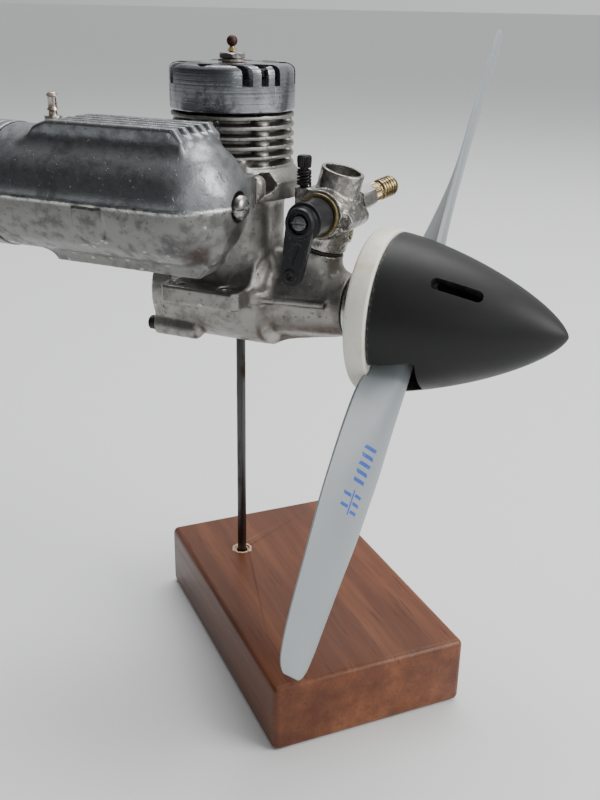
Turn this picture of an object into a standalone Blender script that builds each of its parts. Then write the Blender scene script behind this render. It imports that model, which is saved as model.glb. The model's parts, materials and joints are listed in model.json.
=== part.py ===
"""Model glow engine on a display stand, built as separate parts for one shared frame.

+X runs along the crankshaft towards the propeller, +Z is up and -Y is the exhaust side.
The origin is on the stand rod's axis, at the underside of the wooden stand.
Sizes are in millimetres: MM turns them into Blender's metres.
"""

import itertools
import math

import bmesh
import bpy
from mathutils import Matrix, Vector

MM = 0.001
GAP = 0.3  # clearance that touching pieces keep

X_AXIS = Vector((1, 0, 0))
Y_AXIS = Vector((0, 1, 0))
Z_AXIS = Vector((0, 0, 1))

# ---- Driving dimensions -------------------------------------------------------------------------

CRANK_Z = 107.6  # crankshaft axis above the table
CYL_X = -2.1  # cylinder axis
BORE_R = 9.2  # cylinder liner's inside
STROKE = 14.0
ROD_LENGTH = 31.4  # between the connecting rod's centres

STAND_TURN = math.radians(48.16)  # the engine is turned this far from the wooden block
STAND_SIZE = (57.7, 92.7, 20.5)
STAND_CENTRE = (11.85, -24.05)  # from the rod's axis, along the block's own sides
STAND_ROD_R = 1.4

CASE_REAR_X = -17.5
COVER_SCREWS = [(10.4, 10.4), (-10.4, 10.4), (-10.4, -10.4), (10.4, -10.4)]
CASE_R = 14.2
CASE_BORE_R = 13.0
CASE_FRONT_X = 13.0
NOSE_X = 35.0
NOSE_ROOT_R = 11.2
NOSE_TIP_R = 8.7
LUG_LOW, LUG_HIGH = 108.1, 113.2
LUG_HALF_WIDTH = 23.0
LUG_REAR_X, LUG_FRONT_X = -14.0, 10.8
LUG_HOLE_XS = (-9.3, 5.7)
LUG_HOLE_Y = 18.5
LUG_HOLE_R = 1.6

BELT_Z, BELT_TOP_Z, CONE_TOP_Z = 136.5, 141.0, 144.0
BELT_R = 19.6
FIN_R = 16.9
FIN_COUNT = 6
FIN_LOW_Z = 144.75
FIN_PITCH = 2.587
FIN_THICK = 1.2
JACKET_R = 12.4
DECK_Z = 158.3
HEAD_LOW_Z, HEAD_HIGH_Z = 158.8, 170.8
HEAD_R = 17.1
HEAD_SCREW_R = 14.0  # radius of the head screws' circle
HEAD_SCREW_ANGLES = [30 + 60 * k for k in range(6)]

JOURNAL_R = 5.0
SHAFT_R = 3.0
WRIST_Z = 132.0  # wrist pin at bottom dead centre, the stored pose
CROWN_Z = 140.0

CARB_MOUTH = Vector((31.3, 0, 144.8))
CARB_TILT = math.radians(15)
CARB_UP = Vector((math.sin(CARB_TILT), 0, math.cos(CARB_TILT)))
BARREL = Vector((28.4, 0, 134.0))
NEEDLE_DIR = Vector((0.457, 0.862, 0.216)).normalized()

SPINNER_X, SPINNER_LENGTH, SPINNER_R = 47.9, 47.2, 22.0
PLATE_X, PLATE_R = 41.4, 22.7
PROP_X = 52.9
PROP_TURN = math.radians(225.47)  # the near blade, from +Z towards +Y
PROP_PITCH = 120.0

MUFFLER_Y, MUFFLER_Z = -37.0, 139.9
MUFFLER_R = 16.0
MUFFLER_NOSE_X, MUFFLER_DOME_X = 20.0, 6.0
MUFFLER_SEAM_X, MUFFLER_TAIL_X = -46.0, -70.0
PORT_Z = 141.0
FLANGE_Y = -20.2
EAR_X = 14.8  # exhaust screws on each side of the cylinder axis

# ---- Scene and modelling tools ------------------------------------------------------------------

for old in list(bpy.data.objects):
    bpy.data.objects.remove(old, do_unlink=True)

engine = bpy.data.collections.new("glow_engine")
cutters = bpy.data.collections.new("cutters")
cutters.hide_render = True
bpy.context.scene.collection.children.link(engine)
bpy.context.scene.collection.children.link(cutters)


def material(name, colour, roughness, metallic):
    made = bpy.data.materials.new(name)
    made.use_nodes = True
    shader = made.node_tree.nodes["Principled BSDF"]
    shader.inputs["Base Color"].default_value = (*colour, 1)
    shader.inputs["Roughness"].default_value = roughness
    shader.inputs["Metallic"].default_value = metallic
    return made


CAST = material("cast_aluminium", (0.36, 0.35, 0.33), 0.5, 1.0)
DARK_CAST = material("dark_cast_aluminium", (0.25, 0.26, 0.27), 0.45, 1.0)
MACHINED = material("machined_aluminium", (0.3, 0.31, 0.32), 0.3, 1.0)
STEEL = material("steel", (0.45, 0.45, 0.45), 0.3, 1.0)
BLACK_STEEL = material("black_steel", (0.03, 0.03, 0.03), 0.4, 0.8)
BRASS = material("brass", (0.55, 0.42, 0.18), 0.35, 1.0)
BRONZE = material("bronze", (0.5, 0.33, 0.18), 0.4, 1.0)
COPPER = material("copper", (0.6, 0.3, 0.2), 0.4, 1.0)
GASKET = material("gasket", (0.12, 0.1, 0.08), 0.9, 0.0)
RUBBER = material("rubber", (0.02, 0.02, 0.02), 0.8, 0.0)
BLACK_PLASTIC = material("black_plastic", (0.015, 0.016, 0.018), 0.45, 0.0)
WHITE_NYLON = material("white_nylon", (0.78, 0.75, 0.66), 0.5, 0.0)
GREY_NYLON = material("grey_nylon", (0.5, 0.53, 0.53), 0.45, 0.0)
WOOD = material("wood", (0.32, 0.1, 0.04), 0.45, 0.0)


def add(name, mesh, finish=None):
    """A new object: part of the engine when it has a finish, otherwise a cutter."""
    obj = bpy.data.objects.new(name, mesh)
    if finish is None:
        cutters.objects.link(obj)
        obj.hide_render = True
        obj.display_type = "WIRE"
    else:
        engine.objects.link(obj)
        mesh.materials.append(finish)
    return obj


def stand_at(obj, at, along=Z_AXIS, spin=0.0):
    """Puts the object's own origin at a point, with its own Z turned along a direction."""
    turn = Z_AXIS.rotation_difference(Vector(along).normalized()).to_matrix().to_4x4()
    obj.matrix_world = Matrix.Translation(Vector(at) * MM) @ turn @ Matrix.Rotation(spin, 4, "Z")
    return obj


def flatten(obj):
    """Joins the faces that lie in one plane, so that flat ends are single faces."""
    merge = obj.modifiers.new("flatten", "DECIMATE")
    merge.decimate_type = "DISSOLVE"
    merge.angle_limit = math.radians(0.05)
    return obj


turned_so_far = itertools.count()
UNEVEN = 0.618  # share of a step that each turned shape is spun past the last, so no edges line up


def turned(name, profile, finish=None, at=(0, 0, 0), along=Z_AXIS, steps=24):
    """A turned solid. The profile is (radius, height) points, down the outside first."""
    mesh = bpy.data.meshes.new(name)
    points = [(r * MM, 0, h * MM) for r, h in profile]
    edges = [(i, i + 1) for i in range(len(points) - 1)]
    if profile[0][0] > 0:
        edges.append((len(points) - 1, 0))
    mesh.from_pydata(points, edges, [])
    obj = add(name, mesh, finish)
    screw = obj.modifiers.new("turn", "SCREW")
    screw.steps = screw.render_steps = steps
    screw.use_merge_vertices = True
    screw.merge_threshold = 0.00001
    screw.use_smooth_shade = False
    spin = next(turned_so_far) * UNEVEN * math.tau / steps
    return flatten(stand_at(obj, at, along, spin % math.tau))


def rod(name, radius, start, end, finish=None, steps=16):
    """A round bar between two points."""
    start, end = Vector(start), Vector(end)
    length = (end - start).length
    profile = [(0, length), (radius, length), (radius, 0), (0, 0)]
    return turned(name, profile, finish, start, end - start, steps)


def tube(name, outer, inner, start, end, finish=None, steps=24):
    """A round bar with a hole through it."""
    start, end = Vector(start), Vector(end)
    length = (end - start).length
    profile = [(outer, length), (outer, 0), (inner, 0), (inner, length)]
    return turned(name, profile, finish, start, end - start, steps)


def hexagon(name, across_flats, start, end, finish=None):
    """A hexagonal bar between two points."""
    return rod(name, across_flats / math.sqrt(3), start, end, finish, 6)


def block(name, low, high, finish=None, round_edges=0, segments=2):
    """A box between two corners."""
    mesh = bpy.data.meshes.new(name)
    shape = bmesh.new()
    bmesh.ops.create_cube(shape, size=1)
    low, high = Vector(low), Vector(high)
    size = (high - low) * MM
    centre = (high + low) * MM / 2
    for point in shape.verts:
        point.co = Vector(point.co[i] * size[i] + centre[i] for i in range(3))
    shape.to_mesh(mesh)
    shape.free()
    obj = add(name, mesh, finish)
    if round_edges:
        bevel = obj.modifiers.new("round", "BEVEL")
        bevel.width = round_edges * MM
        bevel.segments = segments
    return obj


def prism(name, outline, thickness, finish=None, at=(0, 0, 0), turn=None):
    """A flat outline (x, y points) made a solid plate, centred on its own XY plane."""
    curve = bpy.data.curves.new(name, "CURVE")
    curve.dimensions = "2D"
    curve.fill_mode = "BOTH"
    curve.extrude = thickness * MM / 2
    spline = curve.splines.new("POLY")
    spline.points.add(len(outline) - 1)
    for point, (x, y) in zip(spline.points, outline):
        point.co = (x * MM, y * MM, 0, 1)
    spline.use_cyclic_u = True
    guide = add(name + "_outline", curve)
    mesh = mesh_of(guide)
    obj = add(name, mesh, finish)
    obj.matrix_world = Matrix.Translation(Vector(at) * MM) @ (turn or Matrix()).to_4x4()
    return obj


def mesh_of(guide):
    """The curve object's solid as a mesh with its caps welded; the curve is removed."""
    bpy.context.view_layer.update()
    graph = bpy.context.evaluated_depsgraph_get()
    mesh = bpy.data.meshes.new_from_object(guide.evaluated_get(graph))
    shape = bmesh.new()
    shape.from_mesh(mesh)
    bmesh.ops.remove_doubles(shape, verts=shape.verts, dist=0.000001)
    bmesh.ops.recalc_face_normals(shape, faces=shape.faces)
    shape.to_mesh(mesh)
    shape.free()
    bpy.data.objects.remove(guide, do_unlink=True)
    return mesh


def combine(obj, other, operation):
    step = obj.modifiers.new(other.name, "BOOLEAN")
    step.operation = operation
    step.solver = "EXACT"
    step.object = other


def join(obj, *others):
    """Adds the other solids to the object."""
    for other in others:
        combine(obj, other, "UNION")
    return obj


def cut(obj, *others):
    """Takes the other solids away from the object."""
    for other in others:
        combine(obj, other, "DIFFERENCE")
    return obj


def ring_point(radius, degrees, z, centre=(CYL_X, 0)):
    """A point on a horizontal circle."""
    angle = math.radians(degrees)
    return Vector((centre[0] + radius * math.cos(angle), centre[1] + radius * math.sin(angle), z))


def cap_screw(name, seat, along, shank_r, shank_length, head_r, head_height, finish=BLACK_STEEL):
    """A cap screw whose head stands on the seat point and whose shank runs back from it."""
    socket_r = head_r * 0.45
    socket_depth = head_height * 0.6
    profile = [
        (0, head_height - socket_depth),
        (socket_r, head_height - socket_depth),
        (socket_r, head_height),
        (head_r - 0.2, head_height),
        (head_r, head_height - 0.2),
        (head_r, 0),
        (shank_r, 0),
        (shank_r, -shank_length),
        (0, -shank_length),
    ]
    return turned(name, profile, finish, seat, along, 10)


# ---- Display stand ------------------------------------------------------------------------------

half = [side / 2 for side in STAND_SIZE]
stand_base = block(
    "stand_base",
    (STAND_CENTRE[0] - half[0], STAND_CENTRE[1] - half[1], 0),
    (STAND_CENTRE[0] + half[0], STAND_CENTRE[1] + half[1], STAND_SIZE[2]),
    WOOD,
    1.6,
)
stand_base.matrix_world = Matrix.Rotation(STAND_TURN, 4, "Z")
ROD_FOOT_Z = 8.5
cut(stand_base, rod("rod_hole", STAND_ROD_R + GAP, (0, 0, ROD_FOOT_Z - GAP), (0, 0, 40)))
ROD_TOP_Z = CRANK_Z - CASE_BORE_R - 0.4
rod("stand_rod", STAND_ROD_R, (0, 0, ROD_FOOT_Z), (0, 0, ROD_TOP_Z), STEEL)

# ---- Crankcase ----------------------------------------------------------------------------------


def crank_line(x):
    """The point of the crankshaft's axis at x."""
    return Vector((x, 0, CRANK_Z))


def carb_line(depth):
    """The point of the carburettor's axis at a depth below its mouth."""
    return CARB_MOUTH - CARB_UP * depth


CARB_SEAT = 22.6  # depth of the intake boss's top face below the carburettor's mouth
SPIGOT_DEPTH = 4.6
SPIGOT_R = 4.9


def jacket_profile():
    """The belt under the fins and the finned jacket, from the deck down."""
    points = [(0, DECK_Z), (JACKET_R, DECK_Z)]
    for k in reversed(range(FIN_COUNT)):
        middle = FIN_LOW_Z + k * FIN_PITCH
        edge = FIN_THICK / 2
        points += [
            (JACKET_R, middle + edge),
            (FIN_R, middle + edge),
            (FIN_R, middle - edge),
            (JACKET_R, middle - edge),
        ]
    points = points[:-1]
    points += [(17.0, CONE_TOP_Z - 0.05), (BELT_R - 0.4, BELT_TOP_Z), (BELT_R, BELT_TOP_Z - 0.8)]
    points += [(BELT_R, BELT_Z), (0, BELT_Z - 4)]
    return points


crankcase = turned(
    "crankcase",
    [
        (0, CASE_FRONT_X),
        (CASE_R - 2.4, CASE_FRONT_X),
        (CASE_R - 0.7, CASE_FRONT_X - 0.7),
        (CASE_R, CASE_FRONT_X - 2.4),
        (CASE_R, CASE_REAR_X),
        (0, CASE_REAR_X),
    ],
    CAST,
    crank_line(0),
    X_AXIS,
    28,
)
nose = turned(
    "nose",
    [(0, NOSE_X), (NOSE_TIP_R - 0.4, NOSE_X), (NOSE_TIP_R, NOSE_X - 0.4), (NOSE_ROOT_R, 8), (0, 8)],
    at=crank_line(0),
    along=X_AXIS,
    steps=28,
)
column = rod("column", 11.5, (CYL_X, 0, CRANK_Z), (CYL_X, 0, BELT_Z + 1), steps=28)
passages = [
    rod("transfer_front", 8.3, (CYL_X + 6, -4.6, CRANK_Z + 2), (CYL_X + 6, -4.6, BELT_Z + 0.6)),
    rod("transfer_rear", 8.3, (CYL_X - 6, -4.6, CRANK_Z + 2), (CYL_X - 6, -4.6, BELT_Z + 0.6)),
    rod("boost", 7.0, (CYL_X, 7.2, CRANK_Z + 2), (CYL_X, 7.2, BELT_Z + 0.4)),
    rod("front_web", 7.0, (6.0, 0.4, CRANK_Z + 3), (6.0, 0.4, BELT_Z + 0.5)),
]
jacket = turned("jacket", jacket_profile(), at=(CYL_X, 0, 0), steps=24)
lugs = block(
    "lugs",
    (LUG_REAR_X, -LUG_HALF_WIDTH, LUG_LOW),
    (LUG_FRONT_X, LUG_HALF_WIDTH, LUG_HIGH),
    round_edges=1.0,
    segments=1,
)
intake_boss = rod("intake_boss", 6.5, carb_line(36), carb_line(CARB_SEAT), steps=24)
boss_web = block("boss_web", (0, -3.6, CRANK_Z + 5), (24, 3.6, CRANK_Z + 13.5))
ribs = block("ribs", (9.8, -12.6, 109.1), (31.0, 12.6, 110.4))
keel = prism(
    "keel",
    [(6, 94.2), (11.5, 94.2), (31, 99.3), (31, 104), (6, 104)],
    2.0,
    turn=Matrix.Rotation(math.radians(90), 3, "X"),
)
cover_bosses = [
    rod(f"boss_{k}", 3.0, (CASE_REAR_X + 0.02, y, CRANK_Z + z), (-7.5, y, CRANK_Z + z), steps=12)
    for k, (y, z) in enumerate(COVER_SCREWS)
]
exhaust_duct = block("exhaust_duct", (CYL_X - 11, -19.5, 137), (CYL_X + 11, -6, 147.2))
exhaust_flange = block(
    "exhaust_flange",
    (CYL_X - 18.6, FLANGE_Y, 137.6),
    (CYL_X + 18.6, -15, 144.4),
    round_edges=1.2,
    segments=1,
)
head_pillars = []
for k, angle in enumerate(HEAD_SCREW_ANGLES):
    foot, top = ring_point(HEAD_SCREW_R, angle, 140), ring_point(HEAD_SCREW_R, angle, DECK_Z - 0.01)
    head_pillars.append(rod(f"head_pillar_{k}", 2.3, foot, top, steps=6))
join(crankcase, nose, column, *passages, lugs, *cover_bosses, jacket, intake_boss, boss_web)
join(crankcase, ribs, keel, exhaust_duct, exhaust_flange, *head_pillars)

BEARING_REAR_X, BEARING_FRONT_X = 8.3, 30.4  # rear faces of the two ball bearings
BEARING_REAR_W, BEARING_FRONT_W = 4.5, 4.3
crank_bores = [
    rod("main_bore", CASE_BORE_R, crank_line(-30), crank_line(8.0), steps=28),
    rod("rear_seat", 9.5, crank_line(0), crank_line(BEARING_REAR_X + BEARING_REAR_W + GAP), steps=24),
    rod("journal_bore", JOURNAL_R + GAP, crank_line(0), crank_line(32)),
    rod("front_seat", 6.5, crank_line(BEARING_FRONT_X - GAP), crank_line(40)),
]
cylinder_bores = [
    rod("cylinder_bore", 10.5, (CYL_X, 0, CRANK_Z), (CYL_X, 0, DECK_Z + 1), steps=28),
    rod("liner_seat", 11.5, (CYL_X, 0, 155.6), (CYL_X, 0, DECK_Z + 1), steps=28),
]
transfer_slots = [
    block("front_slot", (7.9, -8, 117.3), (10.6, -2, 144.6)),
    block("front_inlet", (5, -8.1, 117.2), (8.2, -1.9, 120)),
    block("rear_slot", (-14.8, -8, 112), (-12.1, -2, 144.6)),
    block("boost_slot", (CYL_X - 3, 10, 112), (CYL_X + 3, 12.6, 144.6)),
]
ports = [
    block("exhaust_passage", (CYL_X - 7.5, FLANGE_Y - 5, 139.2), (CYL_X + 7.5, -8, 144.2)),
    rod("intake_passage", 3.6, carb_line(37), carb_line(20)),
    rod("spigot_bore", SPIGOT_R + GAP, carb_line(CARB_SEAT + SPIGOT_DEPTH + GAP), carb_line(15)),
    rod("stand_hole", STAND_ROD_R + GAP, (0, 0, 90), (0, 0, CRANK_Z - CASE_BORE_R + 1), steps=12),
    rod("set_screw_hole", 1.3, carb_line(25) + Y_AXIS * 4, carb_line(25) + Y_AXIS * 9, steps=8),
]
cut(crankcase, *crank_bores, *cylinder_bores, *transfer_slots, *ports)
for k, (y, z) in enumerate(COVER_SCREWS):
    start, end = Vector((-20, y, CRANK_Z + z)), Vector((-9, y, CRANK_Z + z))
    cut(crankcase, rod(f"cover_screw_hole_{k}", 1.2, start, end, steps=8))
for k, angle in enumerate(HEAD_SCREW_ANGLES):
    start, end = ring_point(HEAD_SCREW_R, angle, 148), ring_point(HEAD_SCREW_R, angle, 165)
    cut(crankcase, rod(f"head_screw_hole_{k}", 1.3, start, end, steps=8))
for side in (-1, 1):
    x = CYL_X + side * EAR_X
    cut(crankcase, rod(f"ear_hole_{side}", 1.4, (x, -25, PORT_Z), (x, -14, PORT_Z), steps=8))
    cut(crankcase, rod(f"ear_pocket_{side}", 2.8, (x, -14.98, PORT_Z), (x, -8, PORT_Z), steps=12))
    for hole_x in LUG_HOLE_XS:
        foot, top = (hole_x, side * LUG_HOLE_Y, 100), (hole_x, side * LUG_HOLE_Y, 120)
        cut(crankcase, rod(f"lug_hole_{side}_{hole_x}", LUG_HOLE_R, foot, top, steps=12))

# ---- Rear cover ---------------------------------------------------------------------------------

GASKET_X = CASE_REAR_X - GAP  # the gasket's front face
COVER_X = GASKET_X - 0.4 - GAP  # the cover's front face
COVER_REAR_X = COVER_X - 3.4


def cover_outline(name, x_low, x_high, finish):
    """A disc with four rounded ears, and its four screw holes."""
    plate = rod(name, CASE_R, crank_line(x_low), crank_line(x_high), finish, 28)
    for k, (y, z) in enumerate(COVER_SCREWS):
        ear = (Vector((x_low, y, CRANK_Z + z)), Vector((x_high, y, CRANK_Z + z)))
        join(plate, rod(f"{name}_ear_{k}", 3.0, *ear, steps=12))
    for k, (y, z) in enumerate(COVER_SCREWS):
        hole = (Vector((x_low - 3, y, CRANK_Z + z)), Vector((x_high + 3, y, CRANK_Z + z)))
        cut(plate, rod(f"{name}_hole_{k}", 1.3, *hole, steps=8))
    return plate


gasket = cover_outline("rear_cover_gasket", GASKET_X - 0.4, GASKET_X, GASKET)
cut(gasket, rod("gasket_hole", CASE_BORE_R, crank_line(-25), crank_line(-10), steps=28))
rear_cover = cover_outline("rear_cover", COVER_REAR_X, COVER_X, CAST)
join(rear_cover, rod("cover_plug", 12.6, crank_line(COVER_X - 1), crank_line(-14.5), steps=28))
cut(rear_cover, rod("cover_hollow", 10.8, crank_line(-19.0), crank_line(-10), steps=24))
for k, (y, z) in enumerate(COVER_SCREWS):
    seat = (COVER_REAR_X - GAP, y, CRANK_Z + z)
    cap_screw(f"rear_cover_screw_{k + 1}", seat, -X_AXIS, 0.9, 11, 2.1, 2.4)

# ---- Cylinder liner, piston and connecting rod --------------------------------------------------

liner = turned(
    "cylinder_liner",
    [(11.2, 157.6), (11.2, 155.9), (10.2, 155.9), (10.2, 120), (BORE_R, 120), (BORE_R, 157.6)],
    STEEL,
    (CYL_X, 0, 0),
    steps=28,
)
cut(
    liner,
    block("exhaust_port", (CYL_X - 5, -12, 140.4), (CYL_X + 5, -7, 144.2)),
    block("front_port", (CYL_X + 6, -7, 141.2), (CYL_X + 12, -2.5, 144.2)),
    block("rear_port", (CYL_X - 12, -7, 141.2), (CYL_X - 6, -2.5, 144.2)),
    block("boost_port", (CYL_X - 2.5, 7, 141.2), (CYL_X + 2.5, 12, 144.2)),
)
PISTON_R = BORE_R - GAP
WRIST_R = 2.2
piston = turned(
    "piston",
    [
        (0, CROWN_Z),
        (PISTON_R, CROWN_Z),
        (PISTON_R, WRIST_Z - 5.6),
        (7.3, WRIST_Z - 5.6),
        (7.3, CROWN_Z - 2.4),
        (0, CROWN_Z - 2.4),
    ],
    MACHINED,
    (CYL_X, 0, 0),
    steps=28,
)
for side in (-1, 1):
    inner, outer = CYL_X + side * 3.4, CYL_X + side * 8.0
    join(piston, rod(f"pin_boss_{side}", 4.2, (inner, 0, WRIST_Z), (outer, 0, WRIST_Z), steps=14))
pin_bore = (Vector((CYL_X - 10, 0, WRIST_Z)), Vector((CYL_X + 10, 0, WRIST_Z)))
cut(piston, rod("pin_bore", WRIST_R + GAP, *pin_bore, steps=14))
pin_ends = (Vector((CYL_X - 8.2, 0, WRIST_Z)), Vector((CYL_X + 8.2, 0, WRIST_Z)))
tube("wrist_pin", WRIST_R, 1.2, *pin_ends, STEEL, 14)

BIG_END_Z = WRIST_Z - ROD_LENGTH
ROD_HALF = 2.0
CRANK_PIN_R = 1.6


def rod_eye(name, radius, z, half_width, finish=None):
    low, high = (CYL_X - half_width, 0, z), (CYL_X + half_width, 0, z)
    return rod(name, radius, low, high, finish, 16)


connecting_rod = rod_eye("connecting_rod", 3.9, WRIST_Z, ROD_HALF, MACHINED)
rod_low, rod_high = BIG_END_Z + 1, WRIST_Z - 2
shank = block("rod_shank", (CYL_X - 1.4, -1.9, rod_low), (CYL_X + 1.4, 1.9, rod_high))
join(connecting_rod, rod_eye("big_end", 3.0, BIG_END_Z, ROD_HALF), shank)
cut(
    connecting_rod,
    rod_eye("small_eye", WRIST_R + GAP, WRIST_Z, 5),
    rod_eye("big_eye", CRANK_PIN_R + GAP, BIG_END_Z, 5),
)

# ---- Crankshaft and ball bearings ---------------------------------------------------------------

SHAFT_END_X = 67.0
WEB_REAR_X, WEB_FRONT_X = 4.0, 7.7
crankshaft = turned(
    "crankshaft",
    [
        (0, SHAFT_END_X),
        (SHAFT_R - 0.5, SHAFT_END_X),
        (SHAFT_R, SHAFT_END_X - 0.5),
        (SHAFT_R, 29.8),
        (JOURNAL_R, 29.8),
        (JOURNAL_R, WEB_FRONT_X),
        (12.0, WEB_FRONT_X),
        (12.0, WEB_REAR_X),
        (0, WEB_REAR_X),
    ],
    STEEL,
    crank_line(0),
    X_AXIS,
    24,
)
PIN_Z = CRANK_Z - STROKE / 2
pin_stub = rod(
    "crank_pin", CRANK_PIN_R, (CYL_X + ROD_HALF + GAP, 0, PIN_Z), (WEB_REAR_X + 1, 0, PIN_Z), steps=14
)
join(crankshaft, pin_stub)
cheek_cuts = [
    block(f"cheek_cut_{k}", (0, low, CRANK_Z - 14), (WEB_FRONT_X, high, CRANK_Z - 1.5))
    for k, (low, high) in enumerate(((-14, -5), (5, 14)))
]
intake_window = block("intake_window", (19.6, -3.0, 1.5), (25.4, 3.0, 8))
WINDOW_TURN = math.radians(120)  # the intake window lies this far round from the top
window_turn = Matrix.Rotation(WINDOW_TURN, 4, "X")
intake_window.matrix_world = Matrix.Translation(crank_line(0) * MM) @ window_turn
cut(crankshaft, *cheek_cuts, rod("shaft_bore", 3.0, crank_line(0), crank_line(26)), intake_window)


def ball_bearing(name, x, width, bore_r, outer_r, ball_r, balls):
    """An outer race, an inner race and a cage with its balls, each a separate piece."""
    pitch = (bore_r + outer_r) / 2
    groove = ball_r + GAP
    land = groove * 0.55  # half the space between the two races
    middle = x + width / 2
    arc = [math.radians(a) for a in (56, 19, -19, -56)]
    scoop = [(groove * math.cos(a), groove * math.sin(a)) for a in arc]
    outer = [(outer_r, x + width), (outer_r, x), (pitch + land, x)]
    outer += [(pitch + dr, middle + dx) for dr, dx in reversed(scoop)]
    outer += [(pitch + land, x + width)]
    turned(name + "_outer_race", outer, STEEL, crank_line(0), X_AXIS, 18)
    inner = [(pitch - land, x + width)]
    inner += [(pitch - dr, middle + dx) for dr, dx in scoop]
    inner += [(pitch - land, x), (bore_r, x), (bore_r, x + width)]
    turned(name + "_inner_race", inner, STEEL, crank_line(0), X_AXIS, 18)
    rim = land - GAP / 1.2
    cage_ends = (crank_line(middle - 0.8), crank_line(middle + 0.8))
    cage = tube(name + "_ball_cage", pitch + rim, pitch - rim, *cage_ends, BRASS, 18)
    for k in range(balls):
        mesh = bpy.data.meshes.new(f"{name}_ball_{k}")
        shape = bmesh.new()
        bmesh.ops.create_uvsphere(shape, u_segments=6, v_segments=4, radius=ball_r * MM)
        shape.to_mesh(mesh)
        shape.free()
        ball = add(mesh.name, mesh)
        angle = math.tau * k / balls
        at = crank_line(middle) + Vector((0, pitch * math.cos(angle), pitch * math.sin(angle)))
        ball.matrix_world = Matrix.Translation(at * MM) @ Matrix.Rotation(angle, 4, "X")
        join(cage, ball)


ball_bearing("rear_bearing", BEARING_REAR_X, BEARING_REAR_W, JOURNAL_R + GAP, 9.2, 1.15, 9)
ball_bearing("front_bearing", BEARING_FRONT_X, BEARING_FRONT_W, SHAFT_R + GAP, 6.2, 0.85, 7)

# ---- Cylinder head and glow plug ----------------------------------------------------------------

turned(
    "head_gasket",
    [(11.2, 158.2), (11.2, 157.9), (BORE_R + 0.2, 157.9), (BORE_R + 0.2, 158.2)],
    COPPER,
    (CYL_X, 0, 0),
    steps=28,
)
head = turned(
    "cylinder_head",
    [
        (0, HEAD_HIGH_Z),
        (15.6, HEAD_HIGH_Z),
        (16.7, HEAD_HIGH_Z - 0.45),
        (HEAD_R, HEAD_HIGH_Z - 1.5),
        (HEAD_R, HEAD_LOW_Z + 0.3),
        (HEAD_R - 0.3, HEAD_LOW_Z),
        (11.2, HEAD_LOW_Z),
        (11.2, 158.5),
        (8.9, 158.5),
        (8.9, 154.6),
        (6.6, 154.6),
        (5.6, 157.4),
        (3.3, 159.6),
        (0, 159.6),
    ],
    MACHINED,
    (CYL_X, 0, 0),
    steps=32,
)
SLOT_LOW_Z = 165.6
slot_spans = [(y, CYL_X - 20, CYL_X + 20) for y in (-12.7, -9.0, 9.0, 12.7)]
slot_spans += [(y, x, x + 14) for y in (-5.3, 5.3) for x in (CYL_X - 20.5, CYL_X + 6.5)]
slots = []
for k, (y, low, high) in enumerate(slot_spans):
    slots.append(block(f"head_slot_{k}", (low, y - 0.95, SLOT_LOW_Z), (high, y + 0.95, 175)))
cut(head, *slots)
PLUG_R = 2.8
cut(head, rod("plug_bore", PLUG_R + GAP, (CYL_X, 0, 150), (CYL_X, 0, 180)))
for k, angle in enumerate(HEAD_SCREW_ANGLES):
    foot = ring_point(HEAD_SCREW_R, angle, 150)
    cut(head, rod(f"head_hole_{k}", 1.3, foot, foot + Z_AXIS * 30, steps=8))
    cut(head, rod(f"head_counterbore_{k}", 2.3, foot + Z_AXIS * 17.6, foot + Z_AXIS * 30, steps=8))
    seat = ring_point(HEAD_SCREW_R, angle, 167.9)
    cap_screw(f"head_screw_{k + 1}", seat, Z_AXIS, 1.0, 19, 1.9, 2.0)

tube("glow_plug_washer", 3.9, 3.2, (CYL_X, 0, 171.1), (CYL_X, 0, 171.6), COPPER)
plug = rod("glow_plug_body", PLUG_R, (CYL_X, 0, 160.2), (CYL_X, 0, 172.5), STEEL)
join(plug, hexagon("plug_hex", 6.8, (CYL_X, 0, 171.9), (CYL_X, 0, 173.3)))
cut(plug, rod("coil_well", 1.5, (CYL_X, 0, 150), (CYL_X, 0, 164.5), steps=12))
cut(plug, rod("terminal_well", 1.1, (CYL_X, 0, 169), (CYL_X, 0, 180), steps=12))
turned(
    "glow_plug_terminal",
    [
        (0, 177.7),
        (0.8, 177.5),
        (1.35, 176.9),
        (1.5, 176.2),
        (1.3, 175.5),
        (0.7, 174.9),
        (0.8, 174.4),
        (1.5, 173.7),
        (0.8, 173.7),
        (0.8, 169.3),
        (0, 169.3),
    ],
    BRASS,
    (CYL_X, 0, 0),
    steps=14,
)


def coil(name, wire_r, coil_r, foot, height, turns, finish):
    """A helical wire that stands on a point."""
    curve = bpy.data.curves.new(name, "CURVE")
    curve.dimensions = "3D"
    curve.bevel_depth = wire_r * MM
    curve.bevel_resolution = 0
    curve.use_fill_caps = True
    steps = int(turns * 8)
    spline = curve.splines.new("POLY")
    spline.points.add(steps)
    for k, point in enumerate(spline.points):
        angle = math.tau * k / 8
        x, y = coil_r * math.cos(angle), coil_r * math.sin(angle)
        point.co = (x * MM, y * MM, height * k / steps * MM, 1)
    guide = add(name + "_line", curve)
    obj = add(name, mesh_of(guide), finish)
    return stand_at(obj, foot)


coil("glow_plug_coil", 0.2, 0.9, (CYL_X, 0, 160.6), 3.2, 4, STEEL)

# ---- Carburettor --------------------------------------------------------------------------------

carb_turn = Matrix.Rotation(CARB_TILT, 4, "Y")
BODY_FOOT = CARB_SEAT - 1.2  # depth of the body's underside, with the seal ring under it
THROTTLE_R = 4.3
BODY_HALF, BODY_END = 9.0, 5.2  # the body's ends along the throttle barrel
NIPPLE_BOSS_X, NIPPLE_BOSS_Z = 25.0, 129.9  # fuel nipple's axis, along Y
IDLE_X, IDLE_Y = 22.1, -5.0
AIR_SCREW = carb_line(17.6) + X_AXIS * 5.2


def barrel_point(y):
    """The point of the throttle barrel's axis at y."""
    return Vector((BARREL.x, y, BARREL.z))


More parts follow.
